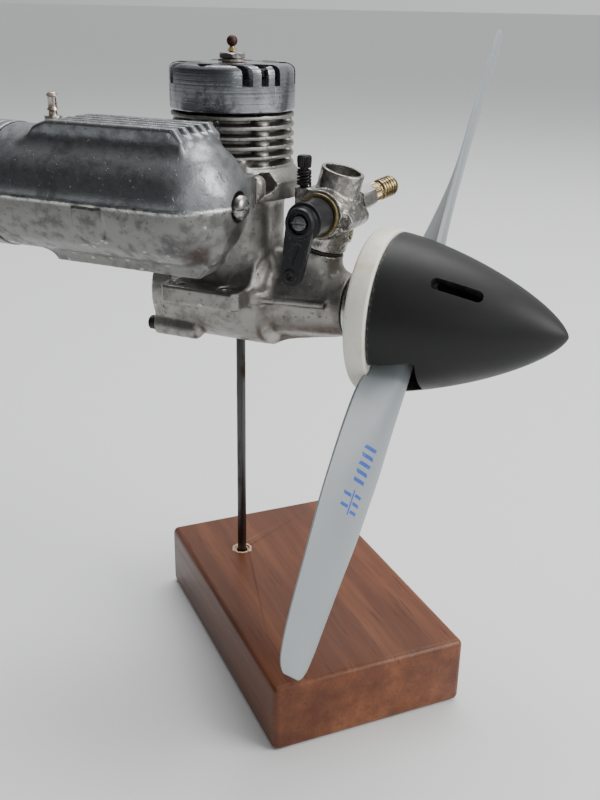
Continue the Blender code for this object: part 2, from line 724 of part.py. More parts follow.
def needle_point(distance):
    """The point of the needle's axis at a distance from the throttle barrel's middle."""
    return BARREL + NEEDLE_DIR * distance


carb_body = rod("carb_body", 5.9, carb_line(10), carb_line(0), CAST, 24)
deck = block("carb_deck", (-6.6, -8.4, -8.7), (6.6, 5.0, -6.5), round_edges=0.8, segments=1)
deck.matrix_world = Matrix.Translation(CARB_MOUTH * MM) @ carb_turn
join(
    carb_body,
    rod("skirt", 6.7, carb_line(BODY_FOOT), carb_line(8), steps=24),
    rod("spigot", SPIGOT_R, carb_line(CARB_SEAT + SPIGOT_DEPTH), carb_line(BODY_FOOT - 1), steps=24),
    deck,
    rod("barrel_housing", 6.5, barrel_point(-BODY_HALF), barrel_point(BODY_END), steps=20),
    rod("idle_post", 2.4, (IDLE_X, IDLE_Y, 131), (IDLE_X, IDLE_Y, 140.2), steps=12),
    rod("needle_boss", 3.5, needle_point(3), needle_point(8.4)),
    rod("side_boss", 2.6, (34.8, -7.6, 132.3), (34.8, 5.0, 132.3), steps=12),
    rod(
        "nipple_boss",
        2.4,
        (NIPPLE_BOSS_X, 0, NIPPLE_BOSS_Z),
        (NIPPLE_BOSS_X, 8.0, NIPPLE_BOSS_Z),
        steps=12,
    ),
    rod("air_boss", 2.3, AIR_SCREW - X_AXIS * 4, AIR_SCREW + X_AXIS * 2, steps=12),
)
throat = turned(
    "throat",
    [(4.9, 1), (4.9, -3), (4.1, -6.4), (3.4, -8), (3.4, -30), (0, -30), (0, 1)],
    at=CARB_MOUTH,
    along=CARB_UP,
)
cut(
    carb_body,
    throat,
    rod("barrel_bore", THROTTLE_R + GAP, barrel_point(-20), barrel_point(4.1), steps=24),
    rod("idle_hole", 1.4, (IDLE_X, IDLE_Y, 135.2), (IDLE_X, IDLE_Y, 145), steps=8),
    rod("needle_hole", 2.0, needle_point(5.9), needle_point(12), steps=12),
    rod("air_hole", 1.3, AIR_SCREW - X_AXIS * 3, AIR_SCREW + X_AXIS * 4, steps=8),
    rod(
        "nipple_hole",
        1.3,
        (NIPPLE_BOSS_X, 4.8, NIPPLE_BOSS_Z),
        (NIPPLE_BOSS_X, 12, NIPPLE_BOSS_Z),
        steps=8,
    ),
)
seal = (carb_line(CARB_SEAT - GAP), carb_line(BODY_FOOT + GAP))
tube("carb_seal", 6.2, SPIGOT_R + GAP, *seal, RUBBER)
set_screw = (carb_line(25) + Y_AXIS * 5.6, carb_line(25) + Y_AXIS * 8.2)
cut(
    rod("carb_set_screw", 1.0, *set_screw, BLACK_STEEL, 8),
    block("set_screw_slot", carb_line(25) + Vector((-5, 7.6, -0.3)), carb_line(25) + Vector((5, 9, 0.3))),
)

barrel = rod("throttle_barrel", THROTTLE_R, barrel_point(-9.2), barrel_point(3.8), STEEL, 24)
join(barrel, rod("barrel_stub", 2.0, barrel_point(-16), barrel_point(-8), steps=12))
THROTTLE_CLOSED = math.radians(70)  # the barrel's hole lies this far round from the throat
hole_dir = (Matrix.Rotation(-THROTTLE_CLOSED, 3, "Y") @ CARB_UP) * 10
cut(
    barrel,
    rod("barrel_hole", 3.1, BARREL - hole_dir, BARREL + hole_dir),
    rod("arm_screw_hole", 1.3, barrel_point(-17), barrel_point(-12), steps=8),
)
tube("throttle_collar", 5.9, THROTTLE_R + GAP, barrel_point(-10.4), barrel_point(-9.3), BRASS)

ARM_TIP = Vector((26.0, 0, 120.0))
ARM_HUB_R, ARM_TIP_R = 3.9, 2.9
ARM_Y, ARM_THICK = -20.1, 2.6


def arm_outline():
    """The throttle arm: two circles and the straight sides that touch both, in X and Z."""
    hub, tip = Vector((BARREL.x, BARREL.z)), Vector((ARM_TIP.x, ARM_TIP.z))
    line = tip - hub
    along = math.atan2(line.y, line.x)
    open_angle = math.acos((ARM_HUB_R - ARM_TIP_R) / line.length)
    points = []
    for k in range(7):
        angle = along - open_angle + 2 * open_angle * k / 6
        points.append(tip + ARM_TIP_R * Vector((math.cos(angle), math.sin(angle))))
    for k in range(11):
        angle = along + open_angle + (math.tau - 2 * open_angle) * k / 10
        points.append(hub + ARM_HUB_R * Vector((math.cos(angle), math.sin(angle))))
    return [tuple(point) for point in points]


upright = Matrix.Rotation(math.radians(90), 3, "X")
arm = prism("throttle_arm", arm_outline(), ARM_THICK, BLACK_PLASTIC, (0, ARM_Y, 0), upright)
join(
    arm,
    rod("drum", 5.0, barrel_point(-19), barrel_point(-10.7), steps=24),
    rod("arm_hub", 3.8, barrel_point(-22.1), barrel_point(-20)),
)
cut(
    arm,
    rod("hub_recess", 2.8, barrel_point(-23), barrel_point(-21.0)),
    rod("drum_bore", 2.3, barrel_point(-16.3), barrel_point(-8), steps=12),
    rod("arm_screw_way", 1.3, barrel_point(-24), barrel_point(-10), steps=8),
    rod("link_hole", 0.9, ARM_TIP - Y_AXIS * 25, ARM_TIP - Y_AXIS * 15, steps=8),
)
cap_screw("throttle_arm_screw", barrel_point(-21.3), -Y_AXIS, 1.0, 7.2, 2.1, 0.8, STEEL)

idle_screw = turned(
    "idle_stop_screw",
    [(0, 148.6), (1.7, 148.6), (2.0, 148.3), (2.0, 145.4), (1.1, 145.4), (1.1, 135.6), (0, 135.6)],
    BLACK_STEEL,
    (IDLE_X, IDLE_Y, 0),
    steps=12,
)
cut(idle_screw, block("idle_slot", (IDLE_X - 3, IDLE_Y - 0.3, 147.9), (IDLE_X + 3, IDLE_Y + 0.3, 150)))
coil("idle_screw_spring", 0.3, 1.72, (IDLE_X, IDLE_Y, 140.85), 3.9, 5, BLACK_STEEL)
air_screw = rod("air_bleed_screw", 1.0, AIR_SCREW - X_AXIS * 2.6, AIR_SCREW + X_AXIS * 2.4, BRASS, 8)
cut(air_screw, block("air_slot", AIR_SCREW + Vector((2, -3, -0.25)), AIR_SCREW + Vector((4, 3, 0.25))))

seat_body = hexagon("needle_valve_seat", 6.4, needle_point(8.7), needle_point(13.8), STEEL)
join(seat_body, rod("seat_thread", 1.6, needle_point(6.3), needle_point(9.5), steps=12))
cut(seat_body, rod("needle_way", 0.9, needle_point(5), needle_point(20), steps=8))
turned(
    "mixture_needle",
    [
        (0, 22.8),
        (2.2, 22.8),
        (2.9, 22.1),
        (2.9, 17.0),
        (2.4, 16.7),
        (2.4, 16.4),
        (2.6, 16.1),
        (2.6, 14.1),
        (0.6, 14.1),
        (0.6, 7.5),
        (0, 6.6),
    ],
    BRASS,
    BARREL,
    NEEDLE_DIR,
    14,
)
turned(
    "fuel_nipple",
    [
        (0, 16.7),
        (1.2, 16.7),
        (1.7, 15.7),
        (1.3, 15.7),
        (1.3, 13.6),
        (1.7, 12.8),
        (1.3, 12.8),
        (1.3, 10.2),
        (2.3, 10.2),
        (2.3, 8.3),
        (1.0, 8.3),
        (1.0, 5.2),
        (0, 5.2),
    ],
    BRASS,
    (NIPPLE_BOSS_X, 0, NIPPLE_BOSS_Z),
    Y_AXIS,
    10,
)

# ---- Drive washer, spinner and propeller --------------------------------------------------------

SHAFT_HOLE_R = SHAFT_R + GAP
turned(
    "drive_washer",
    [(9.6, 41.1), (9.6, 38.6), (8.9, 37.8), (8.9, 35.3), (SHAFT_HOLE_R, 35.3), (SHAFT_HOLE_R, 41.1)],
    MACHINED,
    crank_line(0),
    X_AXIS,
)
turned(
    "spinner_backplate",
    [
        (PLATE_R - 0.5, SPINNER_X - GAP),
        (PLATE_R, SPINNER_X - GAP - 0.6),
        (PLATE_R, PLATE_X + 0.8),
        (PLATE_R - 0.8, PLATE_X),
        (SHAFT_HOLE_R, PLATE_X),
        (SHAFT_HOLE_R, SPINNER_X - GAP),
    ],
    WHITE_NYLON,
    crank_line(0),
    X_AXIS,
    32,
)

HUB_R, HUB_HALF = 9.0, 5.0
ROOT_PITCH_R = 18.0  # nearer the hub the blade keeps this radius's angle
# radius, leading edge and trailing edge from the blade's centre line, thickness
BLADE_STATIONS = [
    (5.0, 4.6, 4.6, 7.0),
    (12.0, 5.1, 5.6, 6.2),
    (19.0, 5.4, 6.8, 4.8),
    (26.0, 5.9, 8.8, 3.9),
    (35.5, 6.6, 10.4, 3.2),
    (47.0, 7.5, 11.6, 2.7),
    (60.0, 7.6, 12.3, 2.3),
    (74.5, 6.6, 12.0, 1.9),
    (87.8, 5.4, 11.4, 1.6),
    (95.0, 4.6, 10.4, 1.4),
    (99.0, 3.4, 8.8, 1.2),
    (100.6, 1.8, 6.8, 1.0),
    (101.2, 0.0, 5.0, 0.8),
]


def blade_section(lead, trail, thick):
    """Points round a blade's section, as (along the chord, above it); a flat-bottomed aerofoil."""
    chord = lead + trail
    upper = [(0.0, 0.12), (0.06, 0.55), (0.25, 0.95), (0.45, 1.0), (0.7, 0.72), (1.0, 0.14)]
    lower = [(1.0, -0.1), (0.5, -0.06), (0.03, -0.12)]
    return [(lead - share * chord, height * thick) for share, height in upper + lower]


def blade(name, turn):
    """One blade, lofted through its sections; it points along the turn from +Z towards +Y."""
    out = Vector((0, math.sin(turn), math.cos(turn)))
    across = X_AXIS.cross(out)
    mesh = bpy.data.meshes.new(name)
    shape = bmesh.new()
    rings = []
    for radius, lead, trail, thick in BLADE_STATIONS:
        pitch = math.atan(PROP_PITCH / (math.tau * max(radius, ROOT_PITCH_R)))
        chord_dir = across * math.cos(pitch) + X_AXIS * math.sin(pitch)
        up_dir = X_AXIS * math.cos(pitch) - across * math.sin(pitch)
        middle = crank_line(PROP_X) + out * radius - up_dir * thick * 0.35
        ring = [
            shape.verts.new((middle + chord_dir * s + up_dir * h) * MM)
            for s, h in blade_section(lead, trail, thick)
        ]
        rings.append(ring)
    count = len(rings[0])
    for low, high in zip(rings, rings[1:]):
        for i in range(count):
            j = (i + 1) % count
            shape.faces.new((low[i], low[j], high[j], high[i]))
    shape.faces.new(reversed(rings[0]))
    shape.faces.new(rings[-1])
    bmesh.ops.triangulate(shape, faces=shape.faces)
    bmesh.ops.recalc_face_normals(shape, faces=shape.faces)
    shape.to_mesh(mesh)
    shape.free()
    return add(name, mesh)


hub_ends = (crank_line(PROP_X - HUB_HALF), crank_line(PROP_X + HUB_HALF))
propeller = rod("propeller", HUB_R, *hub_ends, GREY_NYLON, 24)
join(propeller, blade("blade_near", PROP_TURN), blade("blade_far", PROP_TURN + math.pi))
cut(
    propeller,
    rod("prop_bore", SHAFT_HOLE_R, crank_line(40), crank_line(70)),
    rod("hub_back", PLATE_R + GAP, crank_line(38), crank_line(PROP_X - HUB_HALF), steps=24),
)
WASHER_X = PROP_X + HUB_HALF + GAP
tube("prop_washer", 7.5, SHAFT_HOLE_R, crank_line(WASHER_X), crank_line(WASHER_X + 1.4), STEEL)
NUT_X = WASHER_X + 1.7
nut = hexagon("prop_nut", 10.0, crank_line(NUT_X), crank_line(NUT_X + 5.4), STEEL)
cut(nut, rod("nut_bore", SHAFT_HOLE_R, crank_line(NUT_X - 2), crank_line(NUT_X + 8)))


def spinner_radius(x):
    """The spinner's outer radius: a full nose that comes to a small rounded point."""
    share = min((x - SPINNER_X) / SPINNER_LENGTH, 1.0)
    return SPINNER_R * (1 - share**1.323) ** 0.676


SPINNER_WALL = 1.9
shares = [1, 0.98, 0.92, 0.82, 0.69, 0.54, 0.38, 0.2, 0.0]
xs = [SPINNER_X + SPINNER_LENGTH * share for share in shares]
outside = [(spinner_radius(x), x) for x in xs]
inside = [(r - SPINNER_WALL, x) for r, x in reversed(outside) if r > 6]
inside.append((0, inside[-1][1] + 3))
spinner = turned("spinner_cone", outside + inside, BLACK_PLASTIC, crank_line(0), X_AXIS, 32)
for side, turn in (("near", PROP_TURN), ("far", PROP_TURN + math.pi)):
    out = Vector((0, math.sin(turn), math.cos(turn)))
    across = X_AXIS.cross(out)
    frame = Matrix((X_AXIS, across, out)).transposed().to_4x4()
    window = block(f"blade_window_{side}", (SPINNER_X - 3, -7.8, 10), (60.0, 6.6, 30))
    window.matrix_world = Matrix.Translation(crank_line(0) * MM) @ frame
    cut(spinner, window)
for side, turn in (("near", PROP_TURN + math.pi / 2), ("far", PROP_TURN - math.pi / 2)):
    out = Vector((0, math.sin(turn), math.cos(turn)))
    frame = Matrix((X_AXIS, X_AXIS.cross(out), out)).transposed().to_4x4()
    slot = block(f"grip_slot_{side}", (61.5, -1.7, 9), (74.5, 1.7, 30), round_edges=1.4, segments=1)
    slot.matrix_world = Matrix.Translation(crank_line(0) * MM) @ frame
    cut(spinner, slot)

# ---- Muffler ------------------------------------------------------------------------------------


def muffler_line(x):
    """The point of the muffler's axis at x."""
    return Vector((x, MUFFLER_Y, MUFFLER_Z))


def dome(radius, length, start_x, angles):
    """Points of a round end cap, from the pole to the rim."""
    points = []
    for degrees in angles:
        angle = math.radians(degrees)
        points.append((radius * math.cos(angle), start_x + length * math.sin(angle)))
    return points


MUFFLER_WALL = 1.8
NOSE_RECESS_R, NOSE_RECESS_X = 3.7, 17.0
dome_length = MUFFLER_NOSE_X - MUFFLER_DOME_X
outer_dome = dome(MUFFLER_R, dome_length, MUFFLER_DOME_X, (76, 66, 54, 42, 28, 14, 0))
inner_dome = dome(MUFFLER_R - MUFFLER_WALL, dome_length - 4, MUFFLER_DOME_X, (75, 60, 40, 20, 0))
BOLT_R = 1.5
muffler_body = turned(
    "muffler_body",
    [
        (0, NOSE_RECESS_X),
        (NOSE_RECESS_R, NOSE_RECESS_X),
        *outer_dome,
        (MUFFLER_R, MUFFLER_SEAM_X),
        (0, MUFFLER_SEAM_X),
    ],
    DARK_CAST,
    muffler_line(0),
    X_AXIS,
    28,
)
FIN_BLOCK_Y = (-46.5, -27.5)
RIDGES = 5
top_fins = prism(
    "top_fins",
    [(-37, 149), (9.5, 149), (9.5, 155.6), (7.2, 158.3), (-29, 158.3), (-33.5, 156.6), (-37, 152.6)],
    FIN_BLOCK_Y[1] - FIN_BLOCK_Y[0],
    at=(0, MUFFLER_Y, 0),
    turn=upright,
)
bottom_fins = prism(
    "bottom_fins",
    [(-37, 128), (13, 128), (13, 124.6), (10.5, 122), (-32, 122)],
    10.0,
    at=(0, MUFFLER_Y, 0),
    turn=upright,
)
mount_pad = block(
    "mount_pad",
    (CYL_X - 18.2, -29, 136.2),
    (CYL_X + 18.2, FLANGE_Y - 1.1, 145.6),
    round_edges=1.0,
    segments=1,
)
join(muffler_body, top_fins, bottom_fins, mount_pad)
ridge_pitch = (FIN_BLOCK_Y[1] - FIN_BLOCK_Y[0]) / RIDGES
for k in range(1, RIDGES):
    y = FIN_BLOCK_Y[0] + ridge_pitch * k
    cut(muffler_body, block(f"fin_groove_{k}", (-50, y - 0.7, 156.4), (20, y + 0.7, 165)))
cut(
    muffler_body,
    turned(
        "muffler_hollow",
        [
            (0, inner_dome[0][1]),
            *inner_dome,
            (MUFFLER_R - MUFFLER_WALL, MUFFLER_SEAM_X - 1),
            (0, MUFFLER_SEAM_X - 1),
        ],
        at=muffler_line(0),
        along=X_AXIS,
        steps=24,
    ),
    rod("nose_hole", BOLT_R + GAP, muffler_line(0), muffler_line(30), steps=12),
    block("muffler_inlet", (CYL_X - 7.5, -30, 139.2), (CYL_X + 7.5, -15, 144.2)),
)
for side in (-1, 1):
    x = CYL_X + side * EAR_X
    cut(muffler_body, rod(f"pad_hole_{side}", 1.3, (x, -27.5, PORT_Z), (x, -18, PORT_Z), steps=8))
    seat = (x, -14.6, PORT_Z)
    name = "muffler_screw_front" if side > 0 else "muffler_screw_rear"
    cap_screw(name, seat, Y_AXIS, 1.0, 12.0, 2.1, 2.2)
NIPPLE_X, NIPPLE_Y = -39.5, -30.0
cut(muffler_body, rod("nipple_seat", 1.5, (NIPPLE_X, NIPPLE_Y, 145), (NIPPLE_X, NIPPLE_Y, 170), steps=8))
turned(
    "pressure_nipple",
    [
        (0, 163.2),
        (1.0, 163.2),
        (1.6, 162.4),
        (1.2, 162.1),
        (1.2, 159.4),
        (1.6, 158.8),
        (1.2, 158.5),
        (1.2, 157.3),
        (2.4, 157.3),
        (2.4, 155.6),
        (1.2, 155.6),
        (1.2, 152.4),
        (0, 152.4),
    ],
    STEEL,
    (NIPPLE_X, NIPPLE_Y, 0),
    steps=12,
)
exhaust_gasket = block(
    "exhaust_gasket",
    (CYL_X - 18.0, FLANGE_Y - 0.8, 137.8),
    (CYL_X + 18.0, FLANGE_Y - GAP, 144.2),
    GASKET,
)
cut(exhaust_gasket, block("gasket_port", (CYL_X - 8, -25, 138.9), (CYL_X + 8, -15, 143.4)))
for side in (-1, 1):
    x = CYL_X + side * EAR_X
    cut(exhaust_gasket, rod(f"gasket_ear_{side}", 1.4, (x, -25, PORT_Z), (x, -15, PORT_Z), steps=8))

CAP_FRONT_X, CAP_R = MUFFLER_SEAM_X - GAP, 16.3
cap_out = dome(CAP_R, MUFFLER_TAIL_X + 58, -58, (0, 15, 30, 45, 60))
cap_in = dome(CAP_R - 2, MUFFLER_TAIL_X + 60.5, -58, (60, 45, 30, 15, 0))
rear_cap = turned(
    "muffler_rear_cap",
    [
        (CAP_R, CAP_FRONT_X),
        *cap_out,
        (BOLT_R + GAP, cap_out[-1][1]),
        (BOLT_R + GAP, cap_in[0][1]),
        *cap_in,
        (CAP_R - 2, CAP_FRONT_X),
    ],
    DARK_CAST,
    muffler_line(0),
    X_AXIS,
    28,
)
TAIL_Y, TAIL_Z = MUFFLER_Y - 7.0, MUFFLER_Z - 6.0
TAIL_END_X = -76.0
join(rear_cap, rod("tail_pipe", 4.7, (TAIL_END_X, TAIL_Y, TAIL_Z), (-62, TAIL_Y, TAIL_Z)))
cut(rear_cap, rod("tail_bore", 3.6, (TAIL_END_X - 2, TAIL_Y, TAIL_Z), (-58, TAIL_Y, TAIL_Z)))
BOLT_TAIL_X = cap_out[-1][1] - 3.4
bolt = turned(
    "muffler_through_bolt",
    [
        (0, 21.4),
        (2.2, 21.4),
        (3.0, 20.5),
        (3.0, NOSE_RECESS_X + GAP),
        (BOLT_R, NOSE_RECESS_X + GAP),
        (BOLT_R, BOLT_TAIL_X),
        (0, BOLT_TAIL_X),
    ],
    STEEL,
    muffler_line(0),
    X_AXIS,
    14,
)
cut(bolt, block("bolt_slot", (20.2, -45, 139.5), (23, -30, 140.3)))
nut_x = cap_out[-1][1] - GAP
bolt_nut = hexagon("muffler_bolt_nut", 5.5, muffler_line(nut_x - 2.4), muffler_line(nut_x), STEEL)
cut(bolt_nut, rod("bolt_nut_bore", BOLT_R + GAP, muffler_line(nut_x - 4), muffler_line(nut_x + 2)))

# ---- Clean meshes: tiny slivers left by the joins and cuts are closed up ------------------------

for obj in engine.objects:
    if any(step.type == "BOOLEAN" for step in obj.modifiers):
        weld = obj.modifiers.new("weld", "WELD")
        weld.merge_threshold = 0.02 * MM
        flatten(obj)
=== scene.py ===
"""Looks of a model glow engine on a display stand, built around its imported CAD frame.

Sizes are in millimetres, and MM turns them into Blender's metres. +X runs along the crankshaft to
the propeller, +Z is up, and -Y is the exhaust side.
"""

import json
import math

import bmesh
import bpy
import numpy as np
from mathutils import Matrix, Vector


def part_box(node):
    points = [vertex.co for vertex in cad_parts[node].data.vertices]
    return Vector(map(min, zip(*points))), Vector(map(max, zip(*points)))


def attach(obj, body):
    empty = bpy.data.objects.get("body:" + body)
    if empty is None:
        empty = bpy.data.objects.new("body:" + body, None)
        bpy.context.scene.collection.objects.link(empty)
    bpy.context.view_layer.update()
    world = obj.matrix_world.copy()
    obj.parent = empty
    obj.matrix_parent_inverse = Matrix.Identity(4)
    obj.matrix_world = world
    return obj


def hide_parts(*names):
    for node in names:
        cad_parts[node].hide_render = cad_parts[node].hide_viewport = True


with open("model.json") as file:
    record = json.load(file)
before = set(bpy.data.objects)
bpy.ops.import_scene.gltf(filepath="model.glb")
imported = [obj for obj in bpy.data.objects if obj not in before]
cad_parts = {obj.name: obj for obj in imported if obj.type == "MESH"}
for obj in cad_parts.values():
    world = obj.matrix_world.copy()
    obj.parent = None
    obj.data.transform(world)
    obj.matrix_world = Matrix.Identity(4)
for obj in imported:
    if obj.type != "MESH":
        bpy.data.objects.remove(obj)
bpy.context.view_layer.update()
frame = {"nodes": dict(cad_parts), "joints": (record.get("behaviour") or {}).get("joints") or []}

import openvdb
from mathutils import Matrix, Vector, noise

# ---- Camera, light and floor --------------------------------------------------------------------
# A close view from a little above, on the exhaust side and ahead of the engine.
# Soft light comes from the right and behind; the room is dim on the viewer's side, the floor pale.

MM = 0.001
VIEW_AZIMUTH, VIEW_PITCH, VIEW_ROLL = 24.40, 22.10, 1.06
VIEW_FROM = Vector((130.40, -243.77, 185.12))
VIEW_LENS = 43.66


def camera_turn(azimuth, pitch, roll):
    """The camera's axes as a matrix, from its angles in degrees."""
    az, up, tilt = (math.radians(angle) for angle in (azimuth, pitch, roll))
    back = Vector((math.sin(az) * math.cos(up), -math.cos(az) * math.cos(up), math.sin(up)))
    right = Vector((0, 0, 1)).cross(back).normalized()
    level = back.cross(right)
    across = right * math.cos(tilt) + level * math.sin(tilt)
    above = level * math.cos(tilt) - right * math.sin(tilt)
    return Matrix((across, above, back)).transposed().to_4x4()


camera = bpy.data.objects.new("camera", bpy.data.cameras.new("camera"))
bpy.context.scene.collection.objects.link(camera)
camera.data.lens = VIEW_LENS
camera.data.clip_start = 0.01
camera.matrix_world = (
    Matrix.Translation(VIEW_FROM * MM) @ camera_turn(VIEW_AZIMUTH, VIEW_PITCH, VIEW_ROLL)
)
bpy.context.scene.camera = camera

# each panel: place and size in metres, power in watts, colour
PANELS = {
    "window_panel": ((1.05, 0.1, 0.75), (0.7, 0.9), 14.0, (1.0, 0.99, 0.97)),
    "front_panel": ((0.75, -0.9, 0.5), (0.35, 0.5), 1.1, (0.97, 0.98, 1.0)),
    "top_panel": ((-0.1, 0.45, 1.15), (0.9, 0.7), 12.0, (1.0, 1.0, 1.0)),
}
for name, (place, size, power, colour) in PANELS.items():
    light = bpy.data.lights.new(name, "AREA")
    light.shape = "RECTANGLE"
    light.size, light.size_y = size
    light.energy, light.color = power, colour
    panel = bpy.data.objects.new(name, light)
    panel.location = place
    panel.rotation_euler = (Vector(place) - Vector((0, 0, 0.1))).to_track_quat("Z", "Y").to_euler()
    bpy.context.scene.collection.objects.link(panel)

ROOM_LIT_SIDE = (0.42, 0.68, 0.6)  # towards the brightest part of the room
ROOM_DIM, ROOM_LIT, ROOM_STRENGTH = (0.1, 0.105, 0.11, 1), (0.92, 0.93, 0.93, 1), 0.8
world = bpy.data.worlds.new("room")
world.use_nodes = True
sky = world.node_tree
facing = sky.nodes.new("ShaderNodeVectorMath")
facing.operation = "DOT_PRODUCT"
facing.inputs[1].default_value = ROOM_LIT_SIDE
sky.links.new(sky.nodes.new("ShaderNodeTexCoord").outputs["Generated"], facing.inputs[0])
share = sky.nodes.new("ShaderNodeMapRange")
share.interpolation_type = "SMOOTHSTEP"
share.inputs["From Min"].default_value = -0.55
share.inputs["From Max"].default_value = 0.75
sky.links.new(facing.outputs["Value"], share.inputs["Value"])
tint = sky.nodes.new("ShaderNodeMix")
tint.data_type = "RGBA"
tint.inputs["A"].default_value = ROOM_DIM
tint.inputs["B"].default_value = ROOM_LIT
sky.links.new(share.outputs["Result"], tint.inputs["Factor"])
sky.links.new(tint.outputs["Result"], sky.nodes["Background"].inputs["Color"])
sky.nodes["Background"].inputs["Strength"].default_value = ROOM_STRENGTH
bpy.context.scene.world = world


def plain_finish(name, colour, roughness, metallic=0.0):
    """A new material and its shader node, with its constant values set."""
    finish = bpy.data.materials.new(name)
    finish.use_nodes = True
    shader = finish.node_tree.nodes["Principled BSDF"]
    shader.inputs["Base Color"].default_value = (*colour, 1)
    shader.inputs["Roughness"].default_value = roughness
    shader.inputs["Metallic"].default_value = metallic
    return finish


FLOOR_HALF = 60.0
sheet = bpy.data.meshes.new("floor")
corners = [(-1, -1), (1, -1), (1, 1), (-1, 1)]
sheet.from_pydata([(x * FLOOR_HALF, y * FLOOR_HALF, 0) for x, y in corners], [], [(0, 1, 2, 3)])
floor = bpy.data.objects.new("floor", sheet)
floor.data.materials.append(plain_finish("floor_sheet", (0.78, 0.79, 0.79), 0.55))
bpy.context.scene.collection.objects.link(floor)

# ---- Wooden block -------------------------------------------------------------------------------
# A sawn hardwood block, stained red-brown and thinly varnished, with sanded edges.
# The rod is pushed into a drilled hole, whose rim is chipped down to paler wood.

BLOCK_TURN = math.radians(48.16)
BLOCK_SIZE = (57.7, 92.7, 20.5)
BLOCK_CENTRE = (11.85, -24.05)  # from the rod, along the block's own sides
BLOCK_EDGE = 1.9
ROD_HOLE_R = 1.75


def new_piece(name, points, faces, smooth_angle=35):
    """A mesh object from millimetre points, smooth across edges below the angle."""
    mesh = bpy.data.meshes.new(name)
    mesh.from_pydata([tuple(c * MM for c in point) for point in points], [], faces)
    mesh.validate()
    piece = bpy.data.objects.new(name, mesh)
    bpy.context.scene.collection.objects.link(piece)
    shade(piece, smooth_angle)
    return piece


def shade(piece, smooth_angle=35):
    piece.data.shade_smooth()
    piece.data.set_sharp_from_angle(angle=math.radians(smooth_angle))


def apply_modifiers(piece):
    """Bakes the modifiers into the piece's own mesh."""
    bpy.context.view_layer.update()
    graph = bpy.context.evaluated_depsgraph_get()
    mesh = bpy.data.meshes.new_from_object(piece.evaluated_get(graph))
    piece.modifiers.clear()
    piece.data = mesh


def carve(piece, *tools, way="DIFFERENCE"):
    """Cuts the tool solids out of the piece, or joins them to it, and removes them."""
    for tool in tools:
        step = piece.modifiers.new("carve", "BOOLEAN")
        step.operation, step.solver, step.object = way, "EXACT", tool
        apply_modifiers(piece)
        bpy.data.objects.remove(tool, do_unlink=True)
    return piece


def box_solid(name, low, high, ease=0.0, segments=3):
    """A block between two corners with rounded edges."""
    mesh = bpy.data.meshes.new(name)
    shape = bmesh.new()
    bmesh.ops.create_cube(shape, size=1)
    for point in shape.verts:
        point.co = Vector(
            (a + b + (b - a) * 2 * c) / 2 * MM for a, b, c in zip(low, high, point.co)
        )
    if ease:
        edges = list(shape.edges)
        bmesh.ops.bevel(
            shape, geom=edges, offset=ease * MM, segments=segments, profile=0.5, affect="EDGES"
        )
    shape.to_mesh(mesh)
    shape.free()
    piece = bpy.data.objects.new(name, mesh)
    bpy.context.scene.collection.objects.link(piece)
    shade(piece)
    return piece


def axis_turn(along):
    return Vector((0, 0, 1)).rotation_difference(Vector(along).normalized()).to_matrix().to_4x4()


def settle(piece, matrix):
    """Moves the piece's points, so that its object stays at the origin like the CAD nodes."""
    piece.data.transform(matrix)
    return piece


def eased(profile, ease, closed):
    """The profile with each corner off the axis turned into a small arc of three points."""
    points = [Vector(point) for point in profile]
    count = len(points)
    result = []
    for k, corner in enumerate(points):
        inside = closed or 0 < k < count - 1
        if not inside or corner.x < 1e-6:
            result.append(corner)
            continue
        before, after = points[k - 1], points[(k + 1) % count]
        reach_in, reach_out = before - corner, after - corner
        if reach_in.length < 1e-6 or reach_out.length < 1e-6:
            continue
        if reach_in.angle(reach_out) > math.radians(155):
            result.append(corner)
            continue
        size = min(ease, 0.42 * reach_in.length, 0.42 * reach_out.length)
        first, last = corner + reach_in.normalized() * size, corner + reach_out.normalized() * size
        middle = (first + last) / 4 + corner / 2
        result += [first, middle, last]
    return result


def turned(name, profile, at=(0, 0, 0), along=(0, 0, 1), steps=96, ease=0.15, smooth_angle=35):
    """A turned solid: (radius, height) points, down the outside first; corners are eased."""
    closed = profile[0][0] > 0
    outline = eased(profile, ease, closed) if ease else [Vector(point) for point in profile]
    points, rings = [], []
    for r, h in outline:
        if r < 1e-6:
            rings.append([len(points)])
            points.append((0, 0, h))
            continue
        rings.append(list(range(len(points), len(points) + steps)))
        for k in range(steps):
            angle = math.tau * k / steps
            points.append((r * math.cos(angle), r * math.sin(angle), h))
    faces = []
    pairs = list(zip(rings, rings[1:]))
    if closed:
        pairs.append((rings[-1], rings[0]))
    for upper, lower in pairs:
        for k in range(steps):
            a, b = upper[k % len(upper)], upper[(k + 1) % len(upper)]
            c, d = lower[(k + 1) % len(lower)], lower[k % len(lower)]
            face = [a, d, c, b]
            face = [p for i, p in enumerate(face) if p not in face[:i]]
            if len(face) > 2:
                faces.append(face)
    piece = new_piece(name, points, faces, smooth_angle)
    return settle(piece, Matrix.Translation(Vector(at) * MM) @ axis_turn(along))


def round_bar(name, radius, start, end, steps=48, ease=0.0):
    start, end = Vector(start), Vector(end)
    length = (end - start).length
    profile = [(0, length), (radius, length), (radius, 0), (0, 0)]
    return turned(name, profile, start, end - start, steps, ease)


def fit(piece, finish, slot, body, *nodes):
    """Gives the piece its material and mounts it in place of CAD nodes; the slot argument is not used.
    """
    piece.data.materials.clear()
    piece.data.materials.append(finish)
    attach(piece, body)
    if nodes:
        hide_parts(*nodes)
    return piece


